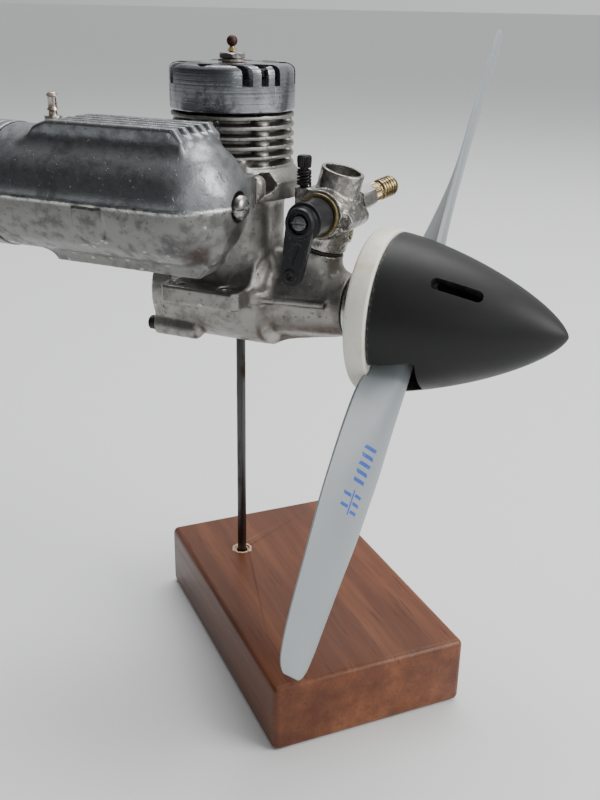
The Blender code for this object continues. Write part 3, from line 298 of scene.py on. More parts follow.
def new_group(name, inputs, outputs):
    """A shader node group with named sockets; inputs are (name, kind, default)."""
    group = bpy.data.node_groups.new(name, "ShaderNodeTree")
    for label, kind, default in inputs:
        socket = group.interface.new_socket(label, in_out="INPUT", socket_type="NodeSocket" + kind)
        if default is not None:
            socket.default_value = default
    for label, kind in outputs:
        group.interface.new_socket(label, in_out="OUTPUT", socket_type="NodeSocket" + kind)
    return group, group.nodes.new("NodeGroupInput"), group.nodes.new("NodeGroupOutput")


def add_node(tree, kind, settings=None, **inputs):
    """A shader node with its settings, and values or links for its named inputs."""
    node = tree.nodes.new(kind)
    for key, value in (settings or {}).items():
        setattr(node, key, value)
    for key, value in inputs.items():
        label = key.replace("_", " ")
        socket = node.inputs[int(key[1:])] if key[1:].isdigit() else node.inputs[label]
        if isinstance(value, bpy.types.NodeSocket):
            tree.links.new(value, socket)
        else:
            socket.default_value = value
    return node


def math_node(tree, operation, *values):
    inputs = {f"i{k}": value for k, value in enumerate(values)}
    return add_node(tree, "ShaderNodeMath", {"operation": operation}, **inputs).outputs[0]


def mix_colours(tree, share, first, second, blend="MIX"):
    settings = {"data_type": "RGBA", "blend_type": blend}
    node = add_node(tree, "ShaderNodeMix", settings, i0=share, i6=first, i7=second)
    return node.outputs[2]


def soft_step(tree, value, low, high):
    """0 below low, 1 above high, smooth between."""
    settings = {"interpolation_type": "SMOOTHSTEP"}
    node = add_node(
        tree, "ShaderNodeMapRange", settings, Value=value, From_Min=low, From_Max=high
    )
    return node.outputs[0]


def place_of(tree, turn=None):
    """The point on the piece in the frame's own metres, turned about the origin if asked."""
    point = add_node(tree, "ShaderNodeTexCoord").outputs["Object"]
    if turn is None:
        return point
    mapping = add_node(tree, "ShaderNodeMapping", {"vector_type": "POINT"}, Vector=point)
    mapping.inputs["Rotation"].default_value = turn
    return mapping.outputs[0]


def noise_at(tree, point, scale, detail=3.0, roughness=0.55, stretch=None):
    if stretch is not None:
        mapping = add_node(tree, "ShaderNodeMapping", {"vector_type": "POINT"}, Vector=point)
        mapping.inputs["Scale"].default_value = stretch
        point = mapping.outputs[0]
    node = add_node(
        tree, "ShaderNodeTexNoise", None,
        Vector=point, Scale=scale, Detail=detail, Roughness=roughness,
    )
    return node.outputs["Fac"]


def bump(tree, height, distance, strength=1.0):
    node = add_node(tree, "ShaderNodeBump", None, Height=height, Strength=strength)
    node.inputs["Distance"].default_value = distance * MM
    return node.outputs["Normal"]


def stained_wood():
    """Long grain along the block's length, with pores, darker bands and paler worn edges."""
    finish = plain_finish("stained_wood", (0.3, 0.1, 0.04), 0.42)
    tree = finish.node_tree
    shader = tree.nodes["Principled BSDF"]
    point = place_of(tree, (0, 0, -BLOCK_TURN))
    warp = noise_at(tree, point, 22, 2.0, 0.5, (1, 0.35, 1))
    bands = noise_at(tree, point, 95, 4.0, 0.6, (1, 0.09, 1))
    streaks = noise_at(tree, point, 420, 3.0, 0.65, (1, 0.05, 1))
    pores = noise_at(tree, point, 1500, 2.0, 0.5, (1, 0.045, 1))
    tone = math_node(tree, "MULTIPLY_ADD", bands, 0.62, math_node(tree, "MULTIPLY", warp, 0.38))
    ramp = tree.nodes.new("ShaderNodeValToRGB")
    tree.links.new(tone, ramp.inputs[0])
    stops = [
        (0.30, (0.05, 0.0155, 0.0075, 1)),
        (0.44, (0.1, 0.031, 0.0135, 1)),
        (0.55, (0.155, 0.052, 0.022, 1)),
        (0.70, (0.24, 0.088, 0.038, 1)),
    ]
    while len(ramp.color_ramp.elements) < len(stops):
        ramp.color_ramp.elements.new(0.5)
    for element, (place, colour) in zip(ramp.color_ramp.elements, stops):
        element.position, element.color = place, colour
    lines = soft_step(tree, streaks, 0.35, 0.62)
    colour = mix_colours(tree, lines, (0.09, 0.028, 0.014, 1), ramp.outputs[0])
    colour = mix_colours(tree, 0.45, ramp.outputs[0], colour)
    dark_pores = soft_step(tree, pores, 0.62, 0.7)
    colour = mix_colours(
        tree, math_node(tree, "MULTIPLY", dark_pores, 0.6), colour, (0.06, 0.016, 0.008, 1)
    )
    edges = soft_step(tree, add_node(tree, "ShaderNodeNewGeometry").outputs["Pointiness"], 0.53, 0.6)
    wear = math_node(tree, "MULTIPLY", edges, soft_step(tree, bands, 0.4, 0.62))
    colour = mix_colours(tree, math_node(tree, "MULTIPLY", wear, 0.35), colour, (0.5, 0.26, 0.13, 1))
    tree.links.new(colour, shader.inputs["Base Color"])
    gloss = math_node(tree, "MULTIPLY_ADD", streaks, 0.22, 0.26)
    tree.links.new(gloss, shader.inputs["Roughness"])
    relief = math_node(tree, "MULTIPLY_ADD", streaks, 0.5, math_node(tree, "MULTIPLY", pores, -0.5))
    tree.links.new(bump(tree, relief, 0.12), shader.inputs["Normal"])
    shader.inputs["Specular IOR Level"].default_value = 0.3
    return finish


half = [side / 2 for side in BLOCK_SIZE]
block = box_solid(
    "wooden_block",
    (BLOCK_CENTRE[0] - half[0], BLOCK_CENTRE[1] - half[1], 0),
    (BLOCK_CENTRE[0] + half[0], BLOCK_CENTRE[1] + half[1], BLOCK_SIZE[2]),
    BLOCK_EDGE,
    5,
)
settle(block, Matrix.Rotation(BLOCK_TURN, 4, "Z"))
rim = [(0, 21), (2.9, 21), (2.35, 20.35), (ROD_HOLE_R, 19.7), (ROD_HOLE_R, 8.2), (0, 8.2)]
hole = turned("hole_cutter", rim, steps=28, ease=0)
for point in hole.data.vertices:
    if point.co.z > 20 * MM and point.co.xy.length > 1 * MM:
        chip = 1 + 0.35 * noise.noise(Vector((point.co.x, point.co.y, 0)) * 900)
        point.co.x, point.co.y = point.co.x * chip, point.co.y * chip
carve(block, hole)
shade(block, 35)
WOOD = stained_wood()
fit(block, WOOD, "stained_wood", "root", "stand_base")

chip_ring = turned(
    "chipped_rim",
    [(3.1, 20.52), (3.0, 20.35), (1.78, 19.2), (1.78, 20.1), (2.5, 20.56)],
    steps=40,
    ease=0,
)
for point in chip_ring.data.vertices:
    chip = 1 + 0.28 * max(0, noise.noise(Vector((point.co.x, point.co.y, 0)) * 1100))
    point.co.x, point.co.y = point.co.x * chip, point.co.y * chip
bare_wood = plain_finish("bare_wood", (0.62, 0.42, 0.26), 0.8)
tree = bare_wood.node_tree
fibres = noise_at(tree, place_of(tree), 1900, 3.0, 0.6, (1, 0.3, 1))
tree.links.new(
    mix_colours(tree, fibres, (0.36, 0.19, 0.1, 1), (0.75, 0.56, 0.38, 1)),
    tree.nodes["Principled BSDF"].inputs["Base Color"],
)
tree.links.new(bump(tree, fibres, 0.2), tree.nodes["Principled BSDF"].inputs["Normal"])
fit(chip_ring, bare_wood, "stained_wood", "root")

# ---- Stand rod ----------------------------------------------------------------------------------
# A length of drawn steel wire, dark with age, that carries the engine above the block.
# It runs from the drilled hole into the underside of the crankcase.

rod_low, rod_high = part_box("stand_rod")
ROD_R = (rod_high.x - rod_low.x) / 2 / MM


def dark_wire():
    finish = plain_finish("dark_wire", (0.09, 0.085, 0.085), 0.38, 1.0)
    tree = finish.node_tree
    shader = tree.nodes["Principled BSDF"]
    point = place_of(tree)
    rust = noise_at(tree, point, 260, 4.0, 0.6, (1, 1, 0.4))
    draw = noise_at(tree, point, 2600, 2.0, 0.5, (1, 1, 0.02))
    spots = soft_step(tree, rust, 0.5, 0.72)
    colour = mix_colours(tree, spots, (0.075, 0.073, 0.075, 1), (0.045, 0.028, 0.02, 1))
    tree.links.new(colour, shader.inputs["Base Color"])
    tree.links.new(math_node(tree, "MULTIPLY_ADD", spots, 0.3, 0.3), shader.inputs["Roughness"])
    tree.links.new(bump(tree, draw, 0.03), shader.inputs["Normal"])
    return finish


stand_rod = round_bar(
    "stand_rod_wire", ROD_R, (0, 0, rod_low.z / MM), (0, 0, rod_high.z / MM), 40, 0.3
)
fit(stand_rod, dark_wire(), "rod_steel", "root", "stand_rod")

# ---- Crankcase ----------------------------------------------------------------------------------
# One die casting in aluminium: main bearing nose, barrel, mounting lugs, cylinder with its
# transfer bulges, exhaust flange and cooling fins, and the intake boss. Its skin is blasted.

crank_low, crank_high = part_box("crankcase")
axle = next(joint for joint in frame["joints"] if joint["name"] == "crank_spin")
AXLE_Z = axle["pos_m"][2] / MM
CYL_X = -2.1
CASE_REAR, NOSE_END = crank_low.x / MM, crank_high.x / MM
CASE_R, CASE_BORE_R = 14.2, 13.0
BELT_R, BELT_LOW, BELT_HIGH = 19.6, 136.5, 141.0
DECK = crank_high.z / MM
FIN_R, FIN_LOW, FIN_PITCH = 16.9, 144.75, 2.587
LUG_LOW, LUG_HIGH, LUG_REACH = 108.1, 113.2, 23.0
LUG_HOLES = [(x, y) for x in (-9.3, 5.7) for y in (-18.5, 18.5)]
FLANGE_Y = crank_low.y / MM + 2.8
COVER_SCREWS = [(10.4, 10.4), (-10.4, 10.4), (-10.4, -10.4), (10.4, -10.4)]
PILLARS = [math.radians(30 + 60 * k) for k in range(6)]
PILLAR_RING = 14.0
MOUTH = Vector((31.3, 0, 144.8))
CARB_TILT = math.radians(15)
CARB_UP = Vector((math.sin(CARB_TILT), 0, math.cos(CARB_TILT)))


def axle_point(x):
    return Vector((x, 0, AXLE_Z))


def carb_point(depth):
    return MOUTH - CARB_UP * depth


class Mould:
    """A casting as the distance to its skin on a grid of points.

    Solids are joined or cut with a fillet, as a pattern maker's putty leaves it.
    """

    FAR = 6.0

    def __init__(self, low, high, step):
        self.step = step
        lines = [
            np.arange(a - 4 * step, b + 5 * step, step, dtype=np.float32) for a, b in zip(low, high)
        ]
        self.low = Vector(float(line[0]) for line in lines)
        self.x, self.y, self.z = np.meshgrid(*lines, indexing="ij", sparse=True)
        self.skin = np.full([len(line) for line in lines], self.FAR, np.float32)

    def bar(self, start, end, r, r_end=None, ease=0.3):
        """A round bar or taper between two points, with eased ends."""
        start, end = Vector(start), Vector(end)
        length = (end - start).length
        a = (end - start) / length
        px, py, pz = self.x - start.x, self.y - start.y, self.z - start.z
        t = px * a.x + py * a.y + pz * a.z
        side = np.sqrt(np.maximum(px * px + py * py + pz * pz - t * t, 0))
        slope = ((r if r_end is None else r_end) - r) / length
        q = (side - r - slope * np.clip(t, 0, length)) / math.hypot(1, slope) + ease
        w = np.abs(t - length / 2) - length / 2 + ease
        return np.minimum(np.maximum(q, w), 0) + np.hypot(np.maximum(q, 0), np.maximum(w, 0)) - ease

    def slab(self, low, high, ease=0.3, turn=0.0, about=(0, 0)):
        """A block with rounded edges, turned about an upright line if asked."""
        c, s = math.cos(turn), math.sin(turn)
        x = about[0] + (self.x - about[0]) * c + (self.y - about[1]) * s
        y = about[1] - (self.x - about[0]) * s + (self.y - about[1]) * c
        q = [
            np.abs(p - (a + b) / 2) - (b - a) / 2 + ease for p, a, b in zip((x, y, self.z), low, high)
        ]
        outside = np.sqrt(sum(np.maximum(p, 0) ** 2 for p in q))
        return outside + np.minimum(np.maximum(np.maximum(q[0], q[1]), q[2]), 0) - ease

    def plate(self, outline, normal, low, high, ease=0.3):
        """A flat outline made thick along X, Y or Z, with eased edges."""
        u, v, w = {
            "X": (self.y, self.z, self.x),
            "Y": (self.x, self.z, self.y),
            "Z": (self.x, self.y, self.z),
        }[normal]
        nearest, inside = None, False
        for (ax, ay), (bx, by) in zip(outline, outline[1:] + outline[:1]):
            ex, ey = bx - ax, by - ay
            along = np.clip(((u - ax) * ex + (v - ay) * ey) / (ex * ex + ey * ey), 0, 1)
            far = np.hypot(u - ax - ex * along, v - ay - ey * along)
            nearest = far if nearest is None else np.minimum(nearest, far)
            if ay != by:
                crossing = ((v >= min(ay, by)) & (v < max(ay, by))) & (u < ax + (v - ay) * ex / ey)
                inside = inside ^ crossing
        q = np.where(inside, -nearest, nearest) + ease
        w = np.abs(w - (low + high) / 2) - (high - low) / 2 + ease
        return np.minimum(np.maximum(q, w), 0) + np.hypot(np.maximum(q, 0), np.maximum(w, 0)) - ease

    def ring_profile(self, outline, centre, ease=0.3):
        """A turned form about an upright line: (radius, height) points of one closed outline."""
        flat = Mould.__new__(Mould)
        flat.x = np.hypot(self.x - centre[0], self.y - centre[1])
        flat.z, flat.y = self.z, self.y * 0
        return flat.plate(outline, "Y", -1e3, 1e3, ease)

    def join(self, *forms, fillet=0.8):
        for form in forms:
            if fillet:
                blend = np.maximum(fillet * 2.4 - np.abs(self.skin - form), 0)
                self.skin = np.minimum(self.skin, form) - blend * blend / (fillet * 9.6)
            else:
                self.skin = np.minimum(self.skin, form)
        return self

    def cut(self, *forms, fillet=0.0):
        for form in forms:
            if fillet:
                blend = np.maximum(fillet * 2.4 - np.abs(self.skin + form), 0)
                self.skin = np.maximum(self.skin, -form) + blend * blend / (fillet * 9.6)
            else:
                self.skin = np.maximum(self.skin, -form)
        return self

    def roughen(self, depth, size):
        """Gentle unevenness of a cast skin."""
        k = math.tau / size
        wave = np.sin(self.x * k + 1.7 * np.sin(self.z * k * 0.63))
        wave = wave * np.sin(self.y * k * 0.87 + 1.3 * np.sin(self.x * k * 0.71)) + np.sin(
            self.z * k * 0.93 + 1.9 * np.sin(self.y * k * 0.57)
        )
        self.skin = self.skin + depth * wave.astype(np.float32)
        return self

    def pour(self, name, most_faces, smooth_angle=40):
        """The casting's mesh, thinned where it is flat."""
        grid = openvdb.FloatGrid(self.FAR)
        grid.copyFromArray(np.clip(self.skin, -self.FAR, self.FAR))
        points, quads = grid.convertToQuads()
        points = points * self.step + np.array(self.low)
        mesh = bpy.data.meshes.new(name)
        mesh.from_pydata((points * MM).tolist(), [], quads[:, ::-1].tolist())
        piece = bpy.data.objects.new(name, mesh)
        bpy.context.scene.collection.objects.link(piece)
        if len(quads) * 2 > most_faces:
            thin = piece.modifiers.new("thin", "DECIMATE")
            thin.ratio = most_faces / (len(quads) * 2)
            apply_modifiers(piece)
        shade(piece, smooth_angle)
        return piece


def casting_form():
    """Outer form first, soft fillets between its members, then fins, then the bores and holes."""
    low = (CASE_REAR, -LUG_REACH, 92.5)
    high = (NOSE_END, LUG_REACH, DECK)
    form = Mould(low, high, 0.3)
    barrel = form.bar(axle_point(CASE_REAR - 4), axle_point(13.2), CASE_R, ease=2.2)
    form.join(barrel, form.bar(axle_point(6), axle_point(NOSE_END), 11.3, 8.7, 0.4), fillet=1.3)
    form.join(form.bar((CYL_X, 0, AXLE_Z), (CYL_X, 0, BELT_LOW + 2), 11.5), fillet=0.8)
    for dx, dy, r in ((6, -4.6, 8.3), (-6, -4.6, 8.3), (0, 7.2, 7.0), (8.1, 0.4, 7.0)):
        foot, top = (CYL_X + dx, dy, AXLE_Z + 2), (CYL_X + dx, dy, BELT_LOW + 2)
        form.join(form.bar(foot, top, r), fillet=0.55)
    lug = [
        (-14.0, -20.6), (-12.4, -22.6), (-10.2, -LUG_REACH), (9.2, -LUG_REACH), (11.2, -21.6),
        (11.3, -19.0), (10.7, -14.0), (10.7, 14.0), (11.3, 19.0), (11.2, 21.6), (9.2, LUG_REACH),
        (-10.2, LUG_REACH), (-12.4, 22.6), (-14.0, 20.6),
    ]
    form.join(form.plate([(min(x, 10.9), y) for x, y in lug], "Z", LUG_LOW, LUG_HIGH, 0.8), fillet=1.1)
    for side in (-1, 1):
        web = [(side * 15.2, 113.0), (side * 11.0, 119.7), (side * 7, 121.5), (side * 6, 110)]
        form.join(form.plate(web, "X", 4.1, 10.8, 0.5), fillet=1.0)
        form.join(form.plate(web, "X", -14.0, -8.2, 0.5), fillet=1.0)
        rib = [(9.5, side * 14.2), (31.0, side * 10.6), (31.0, 0), (9.5, 0)]
        form.join(form.plate(rib, "Z", 109.0, 110.5, 0.35), fillet=0.7)
    keel = [(6, 94.2), (11.5, 94.0), (31, 99.3), (31, 104), (6, 104)]
    form.join(form.plate(keel, "Y", -1.1, 1.1, 0.4), fillet=1.2)
    form.join(form.bar(carb_point(36), carb_point(22.6), 6.5, ease=0.25), fillet=2.2)
    form.join(form.slab((0, -3.6, AXLE_Z + 4), (24, 3.6, AXLE_Z + 13.2), 0.8), fillet=1.6)
    seam = [(12.5, 118.5), (22.0, 116.6), (31.5, 114.9), (31.5, 110), (12.5, 110)]
    form.join(form.plate(seam, "Y", -0.55, 0.55, 0.25), fillet=0.5)
    for y, z in COVER_SCREWS:
        foot, end = (CASE_REAR - 3, y, AXLE_Z + z), (-7.6, y, AXLE_Z + z)
        form.join(form.bar(foot, end, 3.0, ease=1.6), fillet=0.9)
    belt = [
        (0, BELT_LOW - 3), (14, BELT_LOW - 0.2), (BELT_R, BELT_LOW), (BELT_R, BELT_HIGH),
        (17.2, 144.0), (12, 144.6), (0, 144.6),
    ]
    form.join(form.ring_profile(belt, (CYL_X, 0), 0.7), fillet=1.2)
    duct = form.slab((CYL_X - 11, -19.3, 137), (CYL_X + 11, -6, 147.0), 1.4)
    flange = form.slab((CYL_X - 18.6, FLANGE_Y, 137.6), (CYL_X + 18.6, -15, 144.4), 2.2)
    form.join(duct, flange, fillet=1.0)
    form.roughen(0.035, 5.3)
    jacket = form.bar((CYL_X, 0, 140), (CYL_X, 0, DECK), 12.4, ease=0.1)
    form.join(jacket, fillet=0.4)
    for k in range(6):
        middle = FIN_LOW + k * FIN_PITCH
        fin = [(8, middle - 0.62), (FIN_R, middle - 0.5), (FIN_R, middle + 0.5), (8, middle + 0.62)]
        form.join(form.ring_profile(fin, (CYL_X, 0), 0.45), fillet=0.25)
    for angle in PILLARS:
        x, y = CYL_X + PILLAR_RING * math.cos(angle), PILLAR_RING * math.sin(angle)
        form.join(form.bar((x, y, 141), (x, y, DECK), 2.25, ease=0.1), fillet=0.35)
    # bores and seats, machined after casting
    form.cut(
        form.bar(axle_point(CASE_REAR - 9), axle_point(8.0), CASE_BORE_R, ease=0.1),
        form.bar(axle_point(0), axle_point(13.1), 9.5, ease=0.1),
        form.bar(axle_point(0), axle_point(40), 5.3, ease=0.1),
        form.bar(axle_point(30.1), axle_point(40), 6.5, ease=0.1),
        form.bar((CYL_X, 0, AXLE_Z), (CYL_X, 0, 170), 10.5, ease=0.1),
        form.bar((CYL_X, 0, 155.6), (CYL_X, 0, 170), 11.5, ease=0.1),
        form.slab((7.9, -8, 117.3), (10.6, -2, 144.0)),
        form.slab((-14.8, -8, 112), (-12.1, -2, 144.0)),
        form.slab((CYL_X - 3, 10, 112), (CYL_X + 3, 12.6, 144.0)),
        form.slab((CYL_X - 7.5, FLANGE_Y - 5, 139.2), (CYL_X + 7.5, -8, 144.2), 0.8),
        form.bar(carb_point(37), carb_point(20), 3.6),
        form.bar(carb_point(27.5), carb_point(15), 5.2, ease=0.1),
        form.bar((0, 0, 90), (0, 0, AXLE_Z - CASE_BORE_R + 1), ROD_R + 0.3, ease=0.1),
        form.bar(carb_point(25) + Vector((0, 4, 0)), carb_point(25) + Vector((0, 9, 0)), 1.3),
    )
    for x, y in LUG_HOLES:
        form.cut(form.bar((x, y, 100), (x, y, 125), 1.6))
        form.cut(form.bar((x, y, LUG_HIGH - 0.35), (x, y, 125), 2.9, 3.6, 0.1))
    for y, z in COVER_SCREWS:
        form.cut(form.bar((CASE_REAR - 8, y, AXLE_Z + z), (-9, y, AXLE_Z + z), 1.2))
    for angle in PILLARS:
        x, y = CYL_X + PILLAR_RING * math.cos(angle), PILLAR_RING * math.sin(angle)
        form.cut(form.bar((x, y, 148), (x, y, 170), 1.3))
    for side in (-1, 1):
        x = CYL_X + side * 14.8
        form.cut(form.bar((x, -25, 141), (x, -14, 141), 1.4))
        form.cut(form.bar((x, -14.98, 141), (x, -8, 141), 2.8))
    # everything ends at the machined rear, nose, deck and flange faces
    form.cut(
        form.slab((CASE_REAR - 20, -40, 60), (CASE_REAR, 40, 200), 0),
        form.slab((NOSE_END, -40, 60), (NOSE_END + 20, 40, 200), 0),
        form.slab((-60, -40, DECK), (60, 40, DECK + 20), 0),
    )
    return form


def cast_skin_group():
    """Blasted casting: fine grain, darker stains and paler rubbed places, and pits, with painted shade
    darkening its hollows and creases.
    """
    tree, source, result = new_group(
        "cast_skin",
        [
            ("Metal", "Color", (0.5, 0.48, 0.45, 1)),
            ("Stain", "Color", (0.16, 0.14, 0.12, 1)),
            ("Stain Share", "Float", 0.5),
            ("Grain", "Float", 1600.0),
            ("Roughness", "Float", 0.42),
        ],
        [("Color", "Color"), ("Roughness", "Float"), ("Height", "Float"), ("Rubbed", "Float")],
    )
    ports = source.outputs
    point = place_of(tree)
    grain = add_node(
        tree, "ShaderNodeTexNoise", None, Vector=point, Scale=ports["Grain"], Detail=3.0, Roughness=0.6
    ).outputs["Fac"]
    clouds = noise_at(tree, point, 95, 5.0, 0.62)
    blots = noise_at(tree, point, 330, 4.0, 0.6)
    pits = noise_at(tree, point, 900, 2.0, 0.5)
    mixed = math_node(tree, "MULTIPLY_ADD", blots, 0.5, math_node(tree, "MULTIPLY", clouds, 0.5))
    stain = soft_step(tree, mixed, 0.46, 0.62)
    stain = math_node(tree, "MULTIPLY", stain, ports["Stain Share"])
    pit_mask = soft_step(tree, pits, 0.66, 0.74)
    edge = add_node(tree, "ShaderNodeNewGeometry").outputs["Pointiness"]
    rubbed = soft_step(tree, edge, 0.52, 0.6)
    # painted shade: hollows and creases, found from low pointiness, are darkened towards the stain
    # colour
    painted_crease_shade = soft_step(tree, math_node(tree, "SUBTRACT", 1.0, edge), 0.52, 0.62)
    colour = mix_colours(tree, stain, ports["Metal"], ports["Stain"])
    colour = mix_colours(tree, math_node(tree, "MULTIPLY", painted_crease_shade, 0.75), colour, ports["Stain"])
    colour = mix_colours(tree, math_node(tree, "MULTIPLY", pit_mask, 0.5), colour, ports["Stain"])
    pale = mix_colours(tree, 0.55, ports["Metal"], (0.8, 0.79, 0.77, 1))
    colour = mix_colours(tree, math_node(tree, "MULTIPLY", rubbed, 0.7), colour, pale)
    rough = math_node(tree, "MULTIPLY_ADD", stain, 0.14, ports["Roughness"])
    rough = math_node(tree, "MULTIPLY_ADD", math_node(tree, "SUBTRACT", grain, 0.5), 0.2, rough)
    rough = math_node(tree, "MULTIPLY_ADD", rubbed, -0.1, rough)
    height = math_node(tree, "MULTIPLY_ADD", grain, 0.5, math_node(tree, "MULTIPLY", pit_mask, -0.9))
    tree.links.new(colour, result.inputs["Color"])
    tree.links.new(rough, result.inputs["Roughness"])
    tree.links.new(height, result.inputs["Height"])
    tree.links.new(rubbed, result.inputs["Rubbed"])
    return tree


CAST_SKIN = cast_skin_group()


def cast_metal(name, metal, stain, share, grain, roughness, relief):
    """A cast aluminium finish, from the shared skin with its own values."""
    finish = plain_finish(name, metal, roughness, 1.0)
    tree = finish.node_tree
    shader = tree.nodes["Principled BSDF"]
    skin = add_node(tree, "ShaderNodeGroup", {"node_tree": CAST_SKIN})
    skin.inputs["Metal"].default_value = (*metal, 1)
    skin.inputs["Stain"].default_value = (*stain, 1)
    skin.inputs["Stain Share"].default_value = share
    skin.inputs["Grain"].default_value = grain
    skin.inputs["Roughness"].default_value = roughness
    tree.links.new(skin.outputs["Color"], shader.inputs["Base Color"])
    tree.links.new(skin.outputs["Roughness"], shader.inputs["Roughness"])
    tree.links.new(bump(tree, skin.outputs["Height"], relief), shader.inputs["Normal"])
    return finish


CASE_METAL = cast_metal(
    "blasted_casting", (0.3, 0.292, 0.275), (0.11, 0.1, 0.088), 0.5, 1700.0, 0.4, 0.16
)
crankcase = casting_form().pour("crankcase_casting", 190000)
fit(crankcase, CASE_METAL, "cast_aluminium", "root", "crankcase")

# ---- Crankshaft, bearings, piston and liner -----------------------------------------------------
# The running gear inside: a ground steel crankshaft in two ball bearings, an aluminium piston on
# a steel pin, and the hardened liner. All of it is hidden, so it keeps its plain frame shapes.


def turned_marks_group():
    """Fine rings left by the lathe, from a point whose Z is the axis; with oil stains."""
    tree, source, result = new_group(
        "turned_marks",
        [
            ("Point", "Vector", None),
            ("Metal", "Color", (0.5, 0.5, 0.5, 1)),
            ("Stain", "Color", (0.1, 0.1, 0.11, 1)),
            ("Stain Share", "Float", 0.5),
            ("Pitch", "Float", 3000.0),
            ("Roughness", "Float", 0.25),
        ],
        [("Color", "Color"), ("Roughness", "Float"), ("Height", "Float")],
    )
    ports = source.outputs
    parts = add_node(tree, "ShaderNodeSeparateXYZ", None, Vector=ports["Point"]).outputs
    flat = add_node(tree, "ShaderNodeCombineXYZ", None, X=parts[0], Y=parts[1])
    radius = add_node(
        tree, "ShaderNodeVectorMath", {"operation": "LENGTH"}, i0=flat.outputs[0]
    ).outputs["Value"]
    groove = add_node(tree, "ShaderNodeCombineXYZ", None, X=radius, Y=parts[2]).outputs[0]
    rings = add_node(
        tree, "ShaderNodeTexNoise", None, Vector=groove, Scale=ports["Pitch"], Detail=2.0, Roughness=0.7
    ).outputs["Fac"]
    clouds = noise_at(tree, ports["Point"], 120, 5.0, 0.65)
    blots = noise_at(tree, ports["Point"], 520, 3.0, 0.6)
    mixed = math_node(tree, "MULTIPLY_ADD", blots, 0.4, math_node(tree, "MULTIPLY", clouds, 0.6))
    stain = math_node(tree, "MULTIPLY", soft_step(tree, mixed, 0.45, 0.6), ports["Stain Share"])
    edge = add_node(tree, "ShaderNodeNewGeometry").outputs["Pointiness"]
    rubbed = soft_step(tree, edge, 0.53, 0.62)
    colour = mix_colours(tree, stain, ports["Metal"], ports["Stain"])
    pale = mix_colours(tree, 0.5, ports["Metal"], (0.8, 0.8, 0.8, 1))
    colour = mix_colours(tree, math_node(tree, "MULTIPLY", rubbed, 0.6), colour, pale)
    rough = math_node(tree, "MULTIPLY_ADD", stain, 0.2, ports["Roughness"])
    rough = math_node(
        tree, "MULTIPLY_ADD", math_node(tree, "SUBTRACT", rings, 0.5), 0.25, rough
    )
    tree.links.new(colour, result.inputs["Color"])
    tree.links.new(rough, result.inputs["Roughness"])
    tree.links.new(rings, result.inputs["Height"])
    return tree


TURNED_MARKS = turned_marks_group()


def lathe_finish(name, metal, stain, share, roughness, at, along, pitch=3000.0, relief=0.02, shine=1.0):
    """A turned metal finish whose rings run round the given axis."""
    finish = plain_finish(name, metal, roughness, shine)
    tree = finish.node_tree
    shader = tree.nodes["Principled BSDF"]
    point = add_node(tree, "ShaderNodeTexCoord").outputs["Object"]
    centred = add_node(tree, "ShaderNodeVectorMath", {"operation": "SUBTRACT"}, i0=point).outputs[0]
    centred.node.inputs[1].default_value = Vector(at) * MM
    turn = Vector(along).normalized().rotation_difference(Vector((0, 0, 1))).to_euler()
    mapping = add_node(tree, "ShaderNodeMapping", {"vector_type": "POINT"}, Vector=centred)
    mapping.inputs["Rotation"].default_value = turn
    marks = add_node(tree, "ShaderNodeGroup", {"node_tree": TURNED_MARKS}, Point=mapping.outputs[0])
    marks.inputs["Metal"].default_value = (*metal, 1)
    marks.inputs["Stain"].default_value = (*stain, 1)
    marks.inputs["Stain Share"].default_value = share
    marks.inputs["Pitch"].default_value = pitch
    marks.inputs["Roughness"].default_value = roughness
    tree.links.new(marks.outputs["Color"], shader.inputs["Base Color"])
    tree.links.new(marks.outputs["Roughness"], shader.inputs["Roughness"])
    tree.links.new(bump(tree, marks.outputs["Height"], relief), shader.inputs["Normal"])
    return finish


CRANK_DIR = (1, 0, 0)
GROUND_STEEL = lathe_finish(
    "ground_steel", (0.5, 0.5, 0.5), (0.2, 0.16, 0.1), 0.4, 0.22, axle_point(0), CRANK_DIR
)
CAGE_BRASS = lathe_finish(
    "oiled_brass", (0.6, 0.45, 0.2), (0.3, 0.2, 0.08), 0.5, 0.3, axle_point(0), CRANK_DIR
)
UPRIGHT_STEEL = lathe_finish(
    "honed_steel", (0.5, 0.5, 0.5), (0.2, 0.17, 0.12), 0.4, 0.2, (CYL_X, 0, 0), (0, 0, 1)
)
PISTON_METAL = lathe_finish(
    "piston_alloy", (0.55, 0.55, 0.55), (0.22, 0.15, 0.08), 0.7, 0.3, (CYL_X, 0, 0), (0, 0, 1)
)
hidden_finishes = {
    "crankshaft": GROUND_STEEL,
    "rear_bearing_outer_race": GROUND_STEEL,
    "rear_bearing_inner_race": GROUND_STEEL,
    "front_bearing_outer_race": GROUND_STEEL,
    "front_bearing_inner_race": GROUND_STEEL,
    "rear_bearing_ball_cage": CAGE_BRASS,
    "front_bearing_ball_cage": CAGE_BRASS,
    "wrist_pin": GROUND_STEEL,
    "connecting_rod": PISTON_METAL,
    "piston": PISTON_METAL,
    "cylinder_liner": UPRIGHT_STEEL,
}


def refinish(finishes):
    """Gives CAD nodes that keep their shape their own material."""
    for node, finish in finishes.items():
        piece = frame["nodes"][node]
        piece.data.materials.clear()
        piece.data.materials.append(finish)


refinish(hidden_finishes)

# ---- Rear cover ---------------------------------------------------------------------------------
# A die-cast cover over the back of the crankcase with a shallow dished middle, on a fibre gasket.
# Four black socket screws go through its ears into the crankcase bosses.


def node_box(node):
    """The low and high corners of a CAD node, in millimetres."""
    low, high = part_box(node)
    return low / MM, high / MM


cover_low, cover_high = node_box("rear_cover")
COVER_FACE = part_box("rear_cover_gasket")[0].x / MM - 0.3
COVER_BACK = cover_low.x


